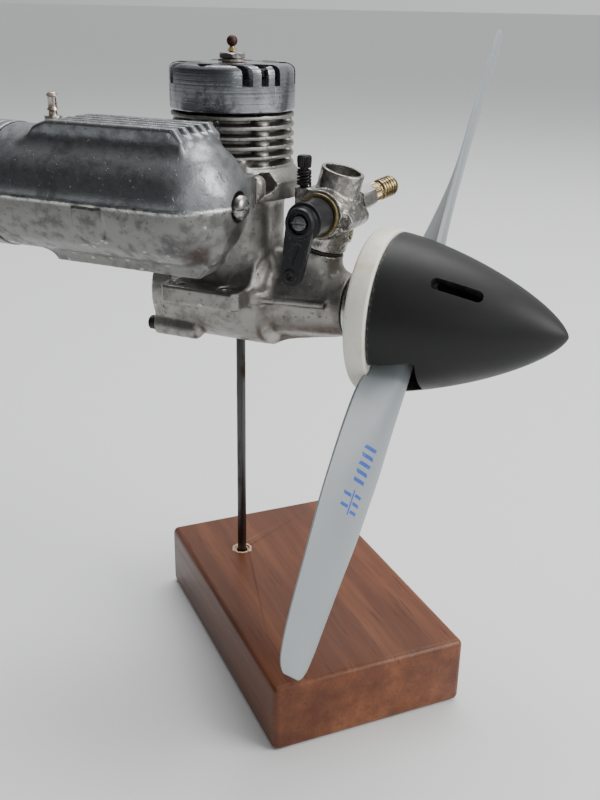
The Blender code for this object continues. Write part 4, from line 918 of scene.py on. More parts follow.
def cover_form():
    form = Mould((COVER_BACK, -15.5, AXLE_Z - 15.5), (cover_high.x, 15.5, AXLE_Z + 15.5), 0.3)
    form.join(form.bar(axle_point(COVER_BACK), axle_point(COVER_FACE + 2), CASE_R, ease=0.9), fillet=0)
    for y, z in COVER_SCREWS:
        foot, end = (COVER_BACK, y, AXLE_Z + z), (COVER_FACE + 2, y, AXLE_Z + z)
        form.join(form.bar(foot, end, 3.0, ease=0.4), fillet=1.0)
    dish = form.bar(axle_point(COVER_BACK - 5), axle_point(COVER_BACK + 0.9), 9.6, 9.2, 0.4)
    form.cut(dish, fillet=0.3)
    form.join(form.bar(axle_point(COVER_BACK + 0.2), axle_point(COVER_FACE), 3.4, ease=0.4), fillet=0.8)
    form.roughen(0.03, 4.7)
    form.cut(form.slab((COVER_FACE, -40, 60), (0, 40, 200), 0))
    form.join(form.bar(axle_point(COVER_FACE - 1), axle_point(cover_high.x), 12.6, ease=0.3), fillet=0)
    form.cut(form.bar(axle_point(-19.0), axle_point(-10), 10.8, ease=0.3))
    for y, z in COVER_SCREWS:
        form.cut(form.bar((COVER_BACK - 3, y, AXLE_Z + z), (-10, y, AXLE_Z + z), 1.3))
    form.cut(form.slab((COVER_BACK - 9, -40, 60), (COVER_BACK, 40, 200), 0))
    return form


rear_cover = cover_form().pour("rear_cover_casting", 40000)
fit(rear_cover, CASE_METAL, "cast_aluminium", "root", "rear_cover")

fibre = plain_finish("oiled_fibre", (0.1, 0.085, 0.07), 0.85)
weave = noise_at(fibre.node_tree, place_of(fibre.node_tree), 2200, 3.0, 0.6)
fibre.node_tree.links.new(
    mix_colours(fibre.node_tree, weave, (0.07, 0.055, 0.045, 1), (0.16, 0.13, 0.1, 1)),
    fibre.node_tree.nodes["Principled BSDF"].inputs["Base Color"],
)
refinish({"rear_cover_gasket": fibre, "exhaust_gasket": fibre})


def black_oxide():
    """Blackened steel, a little brown where oil has dried, bright where a key has rubbed."""
    finish = plain_finish("black_oxide", (0.028, 0.028, 0.03), 0.36, 0.85)
    tree = finish.node_tree
    shader = tree.nodes["Principled BSDF"]
    dry = soft_step(tree, noise_at(tree, place_of(tree), 700, 4.0, 0.6), 0.5, 0.7)
    edge = add_node(tree, "ShaderNodeNewGeometry").outputs["Pointiness"]
    colour = mix_colours(tree, dry, (0.025, 0.025, 0.028, 1), (0.06, 0.045, 0.035, 1))
    rubbed = math_node(tree, "MULTIPLY", soft_step(tree, edge, 0.54, 0.64), 0.5)
    colour = mix_colours(tree, rubbed, colour, (0.28, 0.27, 0.26, 1))
    tree.links.new(colour, shader.inputs["Base Color"])
    tree.links.new(math_node(tree, "MULTIPLY_ADD", dry, 0.25, 0.3), shader.inputs["Roughness"])
    return finish


BLACK_OXIDE = black_oxide()


def knurled(piece, low, high, least_r, depth, ribs, at, along):
    """Presses ribs into the points of a turned piece between two heights on its axis."""
    back = (Matrix.Translation(Vector(at) * MM) @ axis_turn(along)).inverted()
    out = back.inverted()
    for point in piece.data.vertices:
        local = back @ point.co
        if low * MM < local.z < high * MM and local.xy.length > least_r * MM:
            angle = math.atan2(local.y, local.x)
            shrink = 1 - depth * MM / local.xy.length * (0.5 + 0.5 * math.cos(ribs * angle))
            local.x, local.y = local.x * shrink, local.y * shrink
            point.co = out @ local
    return piece


def socket_screw(name, seat, along, shank_r, shank_length, head_r, head_height):
    """A socket cap screw: a knurled round head with a hexagon socket, on a plain shank."""
    profile = [
        (0, head_height), (head_r - 0.3, head_height), (head_r, head_height - 0.35),
        (head_r, head_height * 0.5), (head_r, 0.1), (head_r - 0.15, 0), (shank_r, 0),
        (shank_r, -shank_length + 0.3), (shank_r - 0.3, -shank_length), (0, -shank_length),
    ]
    screw = turned(name, profile, seat, along, 72, 0.12)
    knurled(screw, 0.25, head_height - 0.4, head_r - 0.05, 0.09, 24, seat, along)
    socket_r = head_r * 0.52
    socket = [(0, 9), (socket_r, 9), (socket_r, head_height * 0.42), (0, head_height * 0.3)]
    carve(screw, turned(name + "_socket", socket, seat, along, 6, 0))
    shade(screw)
    return screw


for k, (y, z) in enumerate(COVER_SCREWS):
    node = f"rear_cover_screw_{k + 1}"
    seat = (COVER_BACK - 0.3, y, AXLE_Z + z)
    screw = socket_screw(f"cover_screw_{k + 1}", seat, (-1, 0, 0), 0.9, 11, 2.1, 2.4)
    fit(screw, BLACK_OXIDE, "black_steel", "root", node)

# ---- Cylinder head ------------------------------------------------------------------------------
# A turned aluminium head with cooling slots milled across it, except through its plain near rim.
# Six black socket screws sit deep in counterbores, over a soft copper gasket.

head_low, head_high = node_box("cylinder_head")
HEAD_R = (head_high.x - head_low.x) / 2
HEAD_TOP, HEAD_FOOT = head_high.z, 158.8
SLOT_FOOT, SLOT_WIDTH = 165.6, 1.9
head_profile = [
    (0, HEAD_TOP), (15.0, HEAD_TOP), (16.2, HEAD_TOP - 0.35), (16.9, HEAD_TOP - 1.1),
    (HEAD_R, HEAD_TOP - 2.2), (HEAD_R, HEAD_FOOT + 0.4), (HEAD_R - 0.4, HEAD_FOOT),
    (11.2, HEAD_FOOT), (11.2, 158.5), (8.9, 158.5), (8.9, head_low.z), (6.6, head_low.z),
    (5.6, 157.4), (3.3, 159.6), (0, 159.6),
]
head = turned("cylinder_head_turned", head_profile, (CYL_X, 0, 0), steps=128, ease=0.25)
milled = [(y, CYL_X - 20, CYL_X + 20) for y in (-12.7, -9.0, 9.0, 12.7)]
milled += [(y, x, x + 14) for y in (-5.3, 5.3) for x in (CYL_X - 20.5, CYL_X + 6.5)]
for k, (y, low, high) in enumerate(milled):
    foot, top = (low, y - SLOT_WIDTH / 2, SLOT_FOOT), (high, y + SLOT_WIDTH / 2, 176)
    carve(head, box_solid(f"slot_{k}", foot, top, 0.18, 2))
carve(head, round_bar("plug_bore", 3.1, (CYL_X, 0, 150), (CYL_X, 0, 180), 48))
for angle in PILLARS:
    x, y = CYL_X + PILLAR_RING * math.cos(angle), PILLAR_RING * math.sin(angle)
    carve(head, round_bar("screw_way", 1.3, (x, y, 150), (x, y, 180), 20))
    carve(head, round_bar("counterbore", 2.3, (x, y, 167.6), (x, y, 180), 32))
shade(head, 32)
HEAD_METAL = lathe_finish(
    "turned_alloy", (0.27, 0.28, 0.295), (0.1, 0.1, 0.11), 0.75, 0.2,
    (CYL_X, 0, 0), (0, 0, 1), 1500.0, 0.05,
)
fit(head, HEAD_METAL, "machined_aluminium", "root", "cylinder_head")
for k, angle in enumerate(PILLARS):
    x, y = CYL_X + PILLAR_RING * math.cos(angle), PILLAR_RING * math.sin(angle)
    screw = socket_screw(f"head_screw_fine_{k + 1}", (x, y, 167.9), (0, 0, 1), 1.0, 19, 1.9, 2.0)
    fit(screw, BLACK_OXIDE, "black_steel", "root", f"head_screw_{k + 1}")
SOFT_COPPER = lathe_finish(
    "soft_copper", (0.26, 0.17, 0.13), (0.09, 0.055, 0.045), 0.7, 0.4, (CYL_X, 0, 0), (0, 0, 1)
)
refinish({"head_gasket": SOFT_COPPER, "glow_plug_washer": SOFT_COPPER})

# ---- Glow plug ----------------------------------------------------------------------------------
# A steel plug body with a hexagon, screwed down on a copper washer, and a brass terminal whose
# ball has gone dark. A platinum coil hangs in the body's open end.

plug_low, plug_high = node_box("glow_plug_body")
PLUG_FLATS, PLUG_R = 6.8, 2.8
HEX_FOOT = 171.9
plug_line = (CYL_X, 0, 0)
plug = turned(
    "plug_body",
    [
        (0, plug_high.z - 0.5), (1.2, plug_high.z - 0.5), (1.4, plug_high.z - 0.15),
        (2.1, plug_high.z - 0.15), (2.4, HEX_FOOT), (PLUG_R, HEX_FOOT - 0.1),
        (PLUG_R, plug_low.z + 0.3), (PLUG_R - 0.3, plug_low.z), (0, plug_low.z),
    ],
    plug_line, steps=64, ease=0.1,
)
corner_r = PLUG_FLATS / math.sqrt(3)
hexagon = turned(
    "plug_hexagon",
    [(0, plug_high.z), (corner_r, plug_high.z), (corner_r, HEX_FOOT), (0, HEX_FOOT)],
    plug_line, steps=6, ease=0,
)
rounding = turned(
    "hexagon_rounding",
    [
        (0, plug_high.z), (3.25, plug_high.z), (corner_r, plug_high.z - 0.45),
        (corner_r, HEX_FOOT + 0.3), (3.5, HEX_FOOT), (0, HEX_FOOT),
    ],
    plug_line, steps=64, ease=0,
)
carve(hexagon, rounding, way="INTERSECT")
carve(plug, hexagon, way="UNION")
carve(plug, round_bar("coil_well", 1.5, (CYL_X, 0, 150), (CYL_X, 0, 164.5), 32))
carve(plug, round_bar("terminal_well", 1.1, (CYL_X, 0, 169), (CYL_X, 0, 180), 32))
shade(plug, 30)
DARK_PLUG = lathe_finish(
    "browned_steel", (0.12, 0.112, 0.108), (0.045, 0.036, 0.033), 0.7, 0.34, plug_line, (0, 0, 1)
)
fit(plug, DARK_PLUG, "ground_steel", "root", "glow_plug_body")

terminal_low, terminal_high = node_box("glow_plug_terminal")
BALL_R = 1.48
ball_z = terminal_high.z - BALL_R
arc = [math.radians(90 - 15 * k) for k in range(11)]
ball = [(BALL_R * math.cos(a), ball_z + BALL_R * math.sin(a)) for a in arc]
ball[0] = (0, terminal_high.z)
terminal = turned(
    "plug_terminal",
    ball + [(0.66, 174.75), (0.9, 174.4), (1.2, 173.95), (1.45, 173.66), (0.8, 173.6),
            (0.8, terminal_low.z), (0, terminal_low.z)],
    plug_line, steps=64, ease=0.06, smooth_angle=60,
)
TERMINAL = plain_finish("aged_brass", (0.5, 0.36, 0.16), 0.3, 1.0)
tree = TERMINAL.node_tree
height = add_node(tree, "ShaderNodeSeparateXYZ", None, Vector=place_of(tree)).outputs[2]
tarnish = soft_step(tree, height, 174.6 * MM, 175.0 * MM)
spots = noise_at(tree, place_of(tree), 900, 4.0, 0.65)
dark = mix_colours(tree, spots, (0.035, 0.02, 0.02, 1), (0.1, 0.055, 0.05, 1))
bright = mix_colours(tree, spots, (0.3, 0.2, 0.1, 1), (0.62, 0.48, 0.25, 1))
shader = tree.nodes["Principled BSDF"]
tree.links.new(mix_colours(tree, tarnish, bright, dark), shader.inputs["Base Color"])
tree.links.new(math_node(tree, "MULTIPLY_ADD", tarnish, 0.25, 0.25), shader.inputs["Roughness"])
tree.links.new(bump(tree, spots, 0.05), shader.inputs["Normal"])
fit(terminal, TERMINAL, "brass", "root", "glow_plug_terminal")
refinish({"glow_plug_coil": GROUND_STEEL})

# ---- Drive washer and spinner backplate ---------------------------------------------------------
# A turned aluminium washer with a knurled front flange, keyed to the crankshaft, drives the
# propeller. The white nylon backplate, a little yellowed at its rim, is clamped in front of it.

drive_low, drive_high = node_box("drive_washer")
drive_profile = [
    (9.6, drive_high.x), (9.6, 38.7), (9.3, 38.3), (8.9, 37.9), (8.9, 36.0), (8.6, drive_low.x),
    (3.3, drive_low.x), (3.3, drive_high.x),
]
drive = turned("drive_washer_turned", drive_profile, axle_point(0), CRANK_DIR, steps=192)
shade(knurled(drive, 38.6, 41.0, 9.4, 0.15, 60, axle_point(0), CRANK_DIR), 35)
DRIVE_METAL = lathe_finish(
    "turned_drive_alloy", (0.5, 0.5, 0.49), (0.2, 0.18, 0.15), 0.6, 0.25,
    axle_point(0), CRANK_DIR, 1500.0,
)
fit(drive, DRIVE_METAL, "machined_aluminium", "crank", "drive_washer")

plate_low, plate_high = node_box("spinner_backplate")
PLATE_R = 22.7
plate_profile = [
    (PLATE_R, plate_high.x - 0.5), (PLATE_R, plate_low.x + 0.7), (PLATE_R - 0.8, plate_low.x),
    (13.5, plate_low.x), (12.9, plate_low.x + 1.0), (10.3, plate_low.x + 1.0),
    (9.9, plate_low.x), (3.3, plate_low.x), (3.3, plate_high.x), (PLATE_R - 0.5, plate_high.x),
]
backplate = turned(
    "spinner_backplate_moulded", plate_profile, axle_point(0), CRANK_DIR, steps=160, ease=0.35
)
YELLOWED = plain_finish("yellowed_nylon", (0.82, 0.8, 0.72), 0.42)
tree = YELLOWED.node_tree
shader = tree.nodes["Principled BSDF"]
shader.inputs["Subsurface Weight"].default_value = 0.12
shader.inputs["Subsurface Scale"].default_value = 0.002
smears = soft_step(tree, noise_at(tree, place_of(tree), 110, 5.0, 0.6), 0.5, 0.72)
specks = soft_step(tree, noise_at(tree, place_of(tree), 620, 4.0, 0.7), 0.64, 0.72)
aged = mix_colours(tree, smears, (0.8, 0.79, 0.72, 1), (0.72, 0.66, 0.5, 1))
grimy = mix_colours(tree, math_node(tree, "MULTIPLY", specks, 0.5), aged, (0.4, 0.34, 0.25, 1))
tree.links.new(grimy, shader.inputs["Base Color"])
tree.links.new(math_node(tree, "MULTIPLY_ADD", smears, 0.18, 0.36), shader.inputs["Roughness"])
tree.links.new(bump(tree, smears, 0.04), shader.inputs["Normal"])
fit(backplate, YELLOWED, "white_nylon", "crank", "spinner_backplate")
refinish({"prop_washer": GROUND_STEEL, "prop_nut": GROUND_STEEL})

# ---- Propeller ----------------------------------------------------------------------------------
# A two-blade moulded propeller in pale grey nylon, with pitch that falls toward rounded tips.
# Its hub is clamped by the prop nut inside the spinner; one blade has small blue marks.

PROP_X, PROP_PITCH, HUB_R, HUB_HALF, PROP_BORE_R = 52.9, 120.0, 9.0, 5.0, 3.3
ROOT_PITCH_R = 18  # nearer the hub the blade keeps this radius's angle
BLADE_ROOT, TIP_CURVE, BLADE_TIP = 5, 95, 100.9  # radii; the tip's rows close up past the second
PROP_TURN = math.radians(225.47)
PROP_STATIONS = [
    (5, 4.6, 4.6, 7.0), (12, 5.1, 5.6, 6.2), (19, 5.4, 6.8, 4.8), (26, 5.9, 8.8, 3.9),
    (35.5, 6.6, 10.4, 3.2), (47, 7.5, 11.6, 2.7), (60, 7.6, 12.3, 2.3), (74.5, 6.6, 12.0, 1.9),
    (87.8, 5.4, 11.4, 1.6), (95, 4.6, 10.4, 1.4), (99, 3.4, 8.8, 1.2), (100.6, 1.8, 6.8, 1.0),
    (101.2, 0.0, 5.0, 0.8),
]
UPPER_SIDE = [(0, 0.12), (0.06, 0.55), (0.25, 0.95), (0.45, 1.0), (0.7, 0.72), (1, 0.14)]
LOWER_SIDE = [(1, -0.1), (0.5, -0.06), (0.03, -0.12)]


def smooth_row(xs, ys, wanted):
    """A cubic through the given values, without overshoot, read at the wanted places."""
    xs, ys = np.array(xs, float), np.array(ys, float)
    steps = np.diff(ys) / np.diff(xs)
    slopes = np.concatenate([steps[:1], (steps[:-1] + steps[1:]) / 2, steps[-1:]])
    slopes[1:-1][steps[:-1] * steps[1:] <= 0] = 0
    limit = 2.5 * np.minimum(np.abs(np.append(steps, steps[-1])), np.abs(np.append(steps[:1], steps)))
    slopes = np.clip(slopes, -limit, limit)
    k = np.clip(np.searchsorted(xs, wanted, side="right") - 1, 0, len(xs) - 2)
    width = xs[k + 1] - xs[k]
    t = (wanted - xs[k]) / width
    rise = slopes[k] * width * (t**3 - 2 * t**2 + t) + slopes[k + 1] * width * (t**3 - t**2)
    return ys[k] * (2 * t**3 - 3 * t**2 + 1) + ys[k + 1] * (3 * t**2 - 2 * t**3) + rise


def blade_section(count):
    """The section as (share of the chord, height): once round, closely spaced at the edges."""
    shares = 0.5 - 0.5 * np.cos(np.linspace(0, np.pi, count))
    upper = np.interp(shares, *zip(*UPPER_SIDE))
    for _ in range(2):
        upper[1:-1] = (upper[:-2] + 2 * upper[1:-1] + upper[2:]) / 4
    lower = np.interp(shares, *zip(*LOWER_SIDE[::-1]))
    return np.concatenate([np.stack([shares, upper], 1), np.stack([shares, lower], 1)[::-1]])


def blade(turn, along=90, round_count=24):
    out = Vector((0, math.sin(turn), math.cos(turn)))
    across = Vector((1, 0, 0)).cross(out)
    radii, lead, trail, thick = zip(*PROP_STATIONS)
    tip_rows = BLADE_TIP - (BLADE_TIP - TIP_CURVE) * np.linspace(0.97, 0, 20) ** 2
    rows = np.concatenate([np.linspace(BLADE_ROOT, TIP_CURVE, along), tip_rows])
    lead, trail, thick = (smooth_row(radii, row, rows) for row in (lead, trail, thick))
    section = blade_section(round_count)
    points = []
    for r, front, back, height in zip(rows, lead, trail, thick):
        pitch = math.atan2(PROP_PITCH, math.tau * max(r, ROOT_PITCH_R))
        chord_dir = across * math.cos(pitch) + Vector((math.sin(pitch), 0, 0))
        up = Vector((math.cos(pitch), 0, 0)) - across * math.sin(pitch)
        middle = Vector(axle_point(PROP_X)) + out * r - up * height * 0.35
        for share, rise in section:
            points.append(middle + chord_dir * (front - share * (front + back)) + up * rise * height)
    ring, count = len(section), len(rows)
    faces = [list(range(ring)), [ring * (count - 1) + k for k in range(ring)][::-1]]
    for row in range(count - 1):
        base = row * ring
        for k in range(ring):
            after = (k + 1) % ring
            faces.append([base + after, base + k, base + ring + k, base + ring + after])
    return new_piece("blade", points, faces, 50)


def face_outward(piece):
    """Turns every face of a closed piece to the outside."""
    work = bmesh.new()
    work.from_mesh(piece.data)
    bmesh.ops.recalc_face_normals(work, faces=work.faces)
    work.to_mesh(piece.data)
    work.free()


propeller = turned(
    "propeller_moulded",
    [
        (HUB_R, PROP_X + HUB_HALF), (HUB_R, PROP_X - HUB_HALF),
        (PROP_BORE_R, PROP_X - HUB_HALF), (PROP_BORE_R, PROP_X + HUB_HALF),
    ],
    axle_point(0), CRANK_DIR, steps=96, ease=0.5,
)
blades = [blade(PROP_TURN), blade(PROP_TURN + math.pi)]
for part in blades:
    face_outward(part)
carve(propeller, *blades, way="UNION")
hub_back = turned(
    "hub_back", [(23, 47.9), (23, 30), (0, 30), (0, 47.9)], axle_point(0), CRANK_DIR, 48, 0
)
bore = round_bar("prop_bore", PROP_BORE_R, axle_point(40), axle_point(70), 48)
carve(propeller, hub_back, bore)
shade(propeller, 42)

GREY_NYLON = plain_finish("grey_nylon", (0.42, 0.44, 0.45), 0.4)
tree = GREY_NYLON.node_tree
shader = tree.nodes["Principled BSDF"]
shader.inputs["Subsurface Weight"].default_value = 0.05
shader.inputs["Subsurface Scale"].default_value = 0.001
spread = add_node(tree, "ShaderNodeVectorMath", {"operation": "SUBTRACT"}, i0=place_of(tree)).outputs[0]
spread.node.inputs[1].default_value = Vector(axle_point(PROP_X)) * MM
blade_out = Vector((0, math.sin(PROP_TURN), math.cos(PROP_TURN)))


def along_direction(tree, place, direction, offset=0.0):
    """How far, in mm, a place lies in a direction."""
    dot = add_node(tree, "ShaderNodeVectorMath", {"operation": "DOT_PRODUCT"}, i0=place)
    dot.inputs[1].default_value = direction
    return math_node(tree, "SUBTRACT", math_node(tree, "MULTIPLY", dot.outputs["Value"], 1000.0), offset)


def stroke(tree, across, along, half_width, half_length, lean=0.0):
    """1 inside a leaning bar centred on nought, 0 outside, with a soft edge."""
    shifted = math_node(tree, "MULTIPLY_ADD", along, lean, across)
    wide = soft_step(tree, math_node(tree, "ABSOLUTE", shifted), half_width + 0.08, half_width - 0.02)
    long = soft_step(tree, math_node(tree, "ABSOLUTE", along), half_length + 0.08, half_length - 0.02)
    return math_node(tree, "MULTIPLY", wide, long)


blade_across = Vector((1, 0, 0)).cross(blade_out)
radius = along_direction(tree, spread, blade_out)
side = along_direction(tree, spread, blade_across)
marks = None
# Each mark is (radius, across, half width, half length, lean).
for mark_r, mark_side, width, length, lean in [
    (41.0, -1.9, 1.8, 0.5, 0.5), (43.3, -2.0, 1.8, 0.5, -0.4), (45.6, -2.1, 1.8, 0.5, 0.5),
    (47.9, -2.2, 1.8, 0.5, -0.4), (50.2, -2.3, 1.8, 0.5, 0.0), (54.0, -1.0, 1.2, 0.42, 0.3),
    (56.2, -1.0, 1.2, 0.42, -0.3), (58.4, -1.0, 1.2, 0.42, 0.3), (56.2, -2.8, 0.22, 3.3, 0.0),
    (54.6, -4.6, 1.2, 0.42, -0.3), (57.6, -4.6, 1.2, 0.42, 0.3),
]:
    here_r = math_node(tree, "SUBTRACT", radius, mark_r)
    here_side = math_node(tree, "SUBTRACT", side, mark_side)
    mark = stroke(tree, here_side, here_r, width, length, lean)
    marks = mark if marks is None else math_node(tree, "MAXIMUM", marks, mark)
worn = soft_step(tree, noise_at(tree, place_of(tree), 1500, 4.0, 0.6), 0.7, 0.55)
marks = math_node(tree, "MULTIPLY", marks, math_node(tree, "MULTIPLY_ADD", worn, 0.3, 0.7))
# Only the blade's front face is marked.
surface = add_node(tree, "ShaderNodeTexCoord").outputs["Normal"]
frontness = add_node(tree, "ShaderNodeSeparateXYZ", None, Vector=surface).outputs[0]
marks = math_node(tree, "MULTIPLY", marks, soft_step(tree, frontness, 0.1, 0.3))
smears = noise_at(tree, place_of(tree), 60, 4.0, 0.6)
grime = soft_step(tree, noise_at(tree, place_of(tree), 300, 5.0, 0.7), 0.6, 0.75)
body = mix_colours(tree, smears, (0.225, 0.25, 0.268, 1), (0.27, 0.293, 0.305, 1))
body = mix_colours(tree, math_node(tree, "MULTIPLY", grime, 0.18), body, (0.3, 0.27, 0.22, 1))
tree.links.new(
    mix_colours(tree, marks, body, (0.008, 0.07, 0.36, 1)), shader.inputs["Base Color"]
)
tree.links.new(math_node(tree, "MULTIPLY_ADD", smears, 0.2, 0.3), shader.inputs["Roughness"])
tree.links.new(bump(tree, grime, 0.03), shader.inputs["Normal"])
fit(propeller, GREY_NYLON, "grey_nylon", "crank", "propeller")

# ---- Spinner ------------------------------------------------------------------------------------
# A matt black moulded cone, open behind, with a window for each blade and a slot on each side
# for gripping it. It is held by the nut; its rear edge and nose are rubbed pale.

SPINNER_BACK, SPINNER_TIP = 47.9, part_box("spinner_cone")[1].x / MM
SPINNER_R, SPINNER_WALL = 22.0, 1.9
SOLID_NOSE = 6  # how far the solid tip reaches back


def spinner_radius(share):
    return SPINNER_R * max(0.0, 1 - share**1.323) ** 0.676


shares = 1 - (1 - np.linspace(0, 1, 100)) ** 1.6
spinner_length = SPINNER_TIP - SPINNER_BACK
outer = [(spinner_radius(s), SPINNER_BACK + s * spinner_length) for s in shares[2:]]
outer[-1] = (0, SPINNER_TIP)
inner = [
    (spinner_radius(s) - SPINNER_WALL, SPINNER_BACK + s * (spinner_length - SOLID_NOSE))
    for s in shares
    if spinner_radius(s) > SPINNER_WALL + 0.4
]
inner.append((0, inner[-1][1] + 0.6))
rim = [(SPINNER_R, SPINNER_BACK + 0.25), (SPINNER_R - 0.25, SPINNER_BACK)]
spinner = turned(
    "spinner_moulded", outer[::-1] + rim + inner, axle_point(0), CRANK_DIR, steps=192, ease=0
)
# Each cut is (its turn from the blade, low, high, rounding) in a frame of axle, across and out.
for turn, low, high, ease in [
    (0, (44.9, -6.6, 10), (60.0, 7.8, 30), 1.2),
    (math.pi, (44.9, -6.6, 10), (60.0, 7.8, 30), 1.2),
    (math.pi / 2, (61.5, -1.7, 9), (74.5, 1.7, 30), 1.6),
    (-math.pi / 2, (61.5, -1.7, 9), (74.5, 1.7, 30), 1.6),
]:
    out = Vector((0, math.sin(PROP_TURN + turn), math.cos(PROP_TURN + turn)))
    across = out.cross(Vector((1, 0, 0)))
    place = Matrix((
        (1, across.x, out.x, 0), (0, across.y, out.y, 0), (0, across.z, out.z, AXLE_Z * MM),
        (0, 0, 0, 1),
    ))
    carve(spinner, settle(box_solid("window", low, high, ease, 5), place))
shade(spinner, 30)

MATT_BLACK = plain_finish("matt_black_plastic", (0.012, 0.012, 0.0125), 0.5)
tree = MATT_BLACK.node_tree
shader = tree.nodes["Principled BSDF"]
shader.inputs["Specular IOR Level"].default_value = 0.25
axial = math_node(tree, "SUBTRACT", along_direction(tree, place_of(tree), (1, 0, 0)), SPINNER_BACK)
dust = noise_at(tree, place_of(tree), 90, 5.0, 0.65)
fine = noise_at(tree, place_of(tree), 1400, 4.0, 0.65)
edge = add_node(tree, "ShaderNodeNewGeometry").outputs["Pointiness"]
rim_share = soft_step(tree, axial, 0.9, 0.1)
chips = math_node(tree, "MULTIPLY", rim_share, soft_step(tree, fine, 0.52, 0.6))
rubbed = math_node(tree, "MULTIPLY", soft_step(tree, edge, 0.53, 0.6), soft_step(tree, dust, 0.42, 0.6))
bare = math_node(tree, "MAXIMUM", chips, math_node(tree, "MULTIPLY", rubbed, 0.5))
black = mix_colours(tree, dust, (0.01, 0.01, 0.0105, 1), (0.02, 0.02, 0.0205, 1))
tree.links.new(mix_colours(tree, bare, black, (0.16, 0.155, 0.15, 1)), shader.inputs["Base Color"])
tree.links.new(math_node(tree, "MULTIPLY_ADD", dust, 0.3, 0.3), shader.inputs["Roughness"])
tree.links.new(bump(tree, fine, 0.015), shader.inputs["Normal"])
fit(spinner, MATT_BLACK, "black_plastic", "crank", "spinner_cone")

# ---- Muffler ------------------------------------------------------------------------------------
# A cast aluminium can with a round nose, a ridged block above and a plain block below, and a pad
# bolted to the crankcase flange; a pressed rear cap with the tail pipe is pulled on by one bolt.

MUFFLER_Y, MUFFLER_Z, MUFFLER_R = -37.0, 139.9, 16.0
DOME_X, NOSE_X, SEAM_X = 6.0, 20.0, -46.0
MUFFLER_WALL = 1.8
NOSE_RECESS_R, NOSE_RECESS_X, BOLT_WAY_R = 3.7, 17.0, 1.8
NIPPLE_PLACE = (-39.5, -30)
PAD_HOLE_R = 1.3
FIN_SIDES = (-46.5, -27.5)
RIDGE_COUNT, RIDGE_FOOT = 5, 156.4
PORT_Z, EAR_OFFSET = 141.0, 14.8


def muffler_point(x):
    return (x, MUFFLER_Y, MUFFLER_Z)


def domed_bar(form, radius, end_x, dome_x, nose_x):
    """A round can along X whose front closes in an oval dome."""
    side = np.hypot(form.y - MUFFLER_Y, form.z - MUFFLER_Z)
    ahead = np.maximum(form.x - dome_x, 0) / (nose_x - dome_x)
    size = np.hypot(ahead, side / radius)
    slope = np.hypot(ahead / (nose_x - dome_x), side / radius**2) / np.maximum(size, 1e-3)
    return np.maximum((size - 1) / np.maximum(slope, 1 / radius), end_x - form.x)


def muffler_form():
    """The can with soft parting lines, its blocks, ridges, pad, chamber and holes."""
    step = 0.3
    form = Mould((SEAM_X, -53.4, 121.5), (NOSE_X + 0.5, FLANGE_Y - 1.1, 158.6), step)
    form.join(domed_bar(form, MUFFLER_R, SEAM_X, DOME_X, NOSE_X), fillet=0)
    top = [
        (-37, 149), (9.5, 149), (9.5, 155.6), (7.2, 158.3), (-29, 158.3), (-33.5, 156.6),
        (-37, 152.6),
    ]
    bottom = [(-37, 128), (13, 128), (13, 124.6), (10.5, 122), (-32, 122)]
    form.join(
        form.plate(top, "Y", FIN_SIDES[0], FIN_SIDES[1], 0.9),
        form.plate(bottom, "Y", -42, -32, 0.8),
        form.slab((CYL_X - 18.2, -29, 136.2), (CYL_X + 18.2, FLANGE_Y - 1.1, 145.6), 0.8),
        fillet=1.0,
    )
    pitch = (FIN_SIDES[1] - FIN_SIDES[0]) / RIDGE_COUNT
    for k in range(1, RIDGE_COUNT):
        y = FIN_SIDES[0] + pitch * k
        form.cut(form.slab((-50, y - 0.75, RIDGE_FOOT), (20, y + 0.75, 165), 0.5), fillet=0.45)
    # The parting line runs round the can at half height, thicker where the flash was broken off.
    ragged = 0.1 * np.sin(form.x * 1.9) * np.sin(form.x * 0.63 + 1)
    seam = domed_bar(form, MUFFLER_R + 0.28, SEAM_X, DOME_X, NOSE_X + 0.25) - ragged
    form.join(np.maximum(seam, np.abs(form.z - MUFFLER_Z) - 0.25), fillet=0.25)
    # A smooth U-shaped pad stands on the near side, under the parting line.
    pad = [
        (-18.0, 139.2), (-18.0, 134.5), (-16.6, 131.2), (-13.5, 129.9), (-10.4, 131.2),
        (-9.0, 134.5), (-9.0, 139.2),
    ]
    proud = domed_bar(form, MUFFLER_R + 0.5, SEAM_X, DOME_X, NOSE_X)
    form.join(np.maximum(proud, form.plate(pad, "Y", -60, -40, 0.3)), fillet=0.25)
    form.roughen(0.05, 6.1)
    form.cut(
        domed_bar(form, MUFFLER_R - MUFFLER_WALL, SEAM_X - 3, DOME_X, NOSE_X - 4),
        form.bar(muffler_point(NOSE_RECESS_X), muffler_point(30), NOSE_RECESS_R, 4.2, 0.3),
        form.bar(muffler_point(0), muffler_point(30), BOLT_WAY_R),
        form.slab((CYL_X - 7.5, -30, 139.2), (CYL_X + 7.5, -15, 144.2), 0.8),
        form.bar((*NIPPLE_PLACE, 145), (*NIPPLE_PLACE, 170), 1.5),
        form.slab((SEAM_X - 9, -90, 100), (SEAM_X, 0, 180), 0),
    )
    for side in (-1, 1):
        x = CYL_X + side * EAR_OFFSET
        form.cut(form.bar((x, -27.5, PORT_Z), (x, -18, PORT_Z), PAD_HOLE_R))
    form.cut(form.slab((-60, FLANGE_Y - 1.1, 100), (60, 0, 180), 0))
    return form


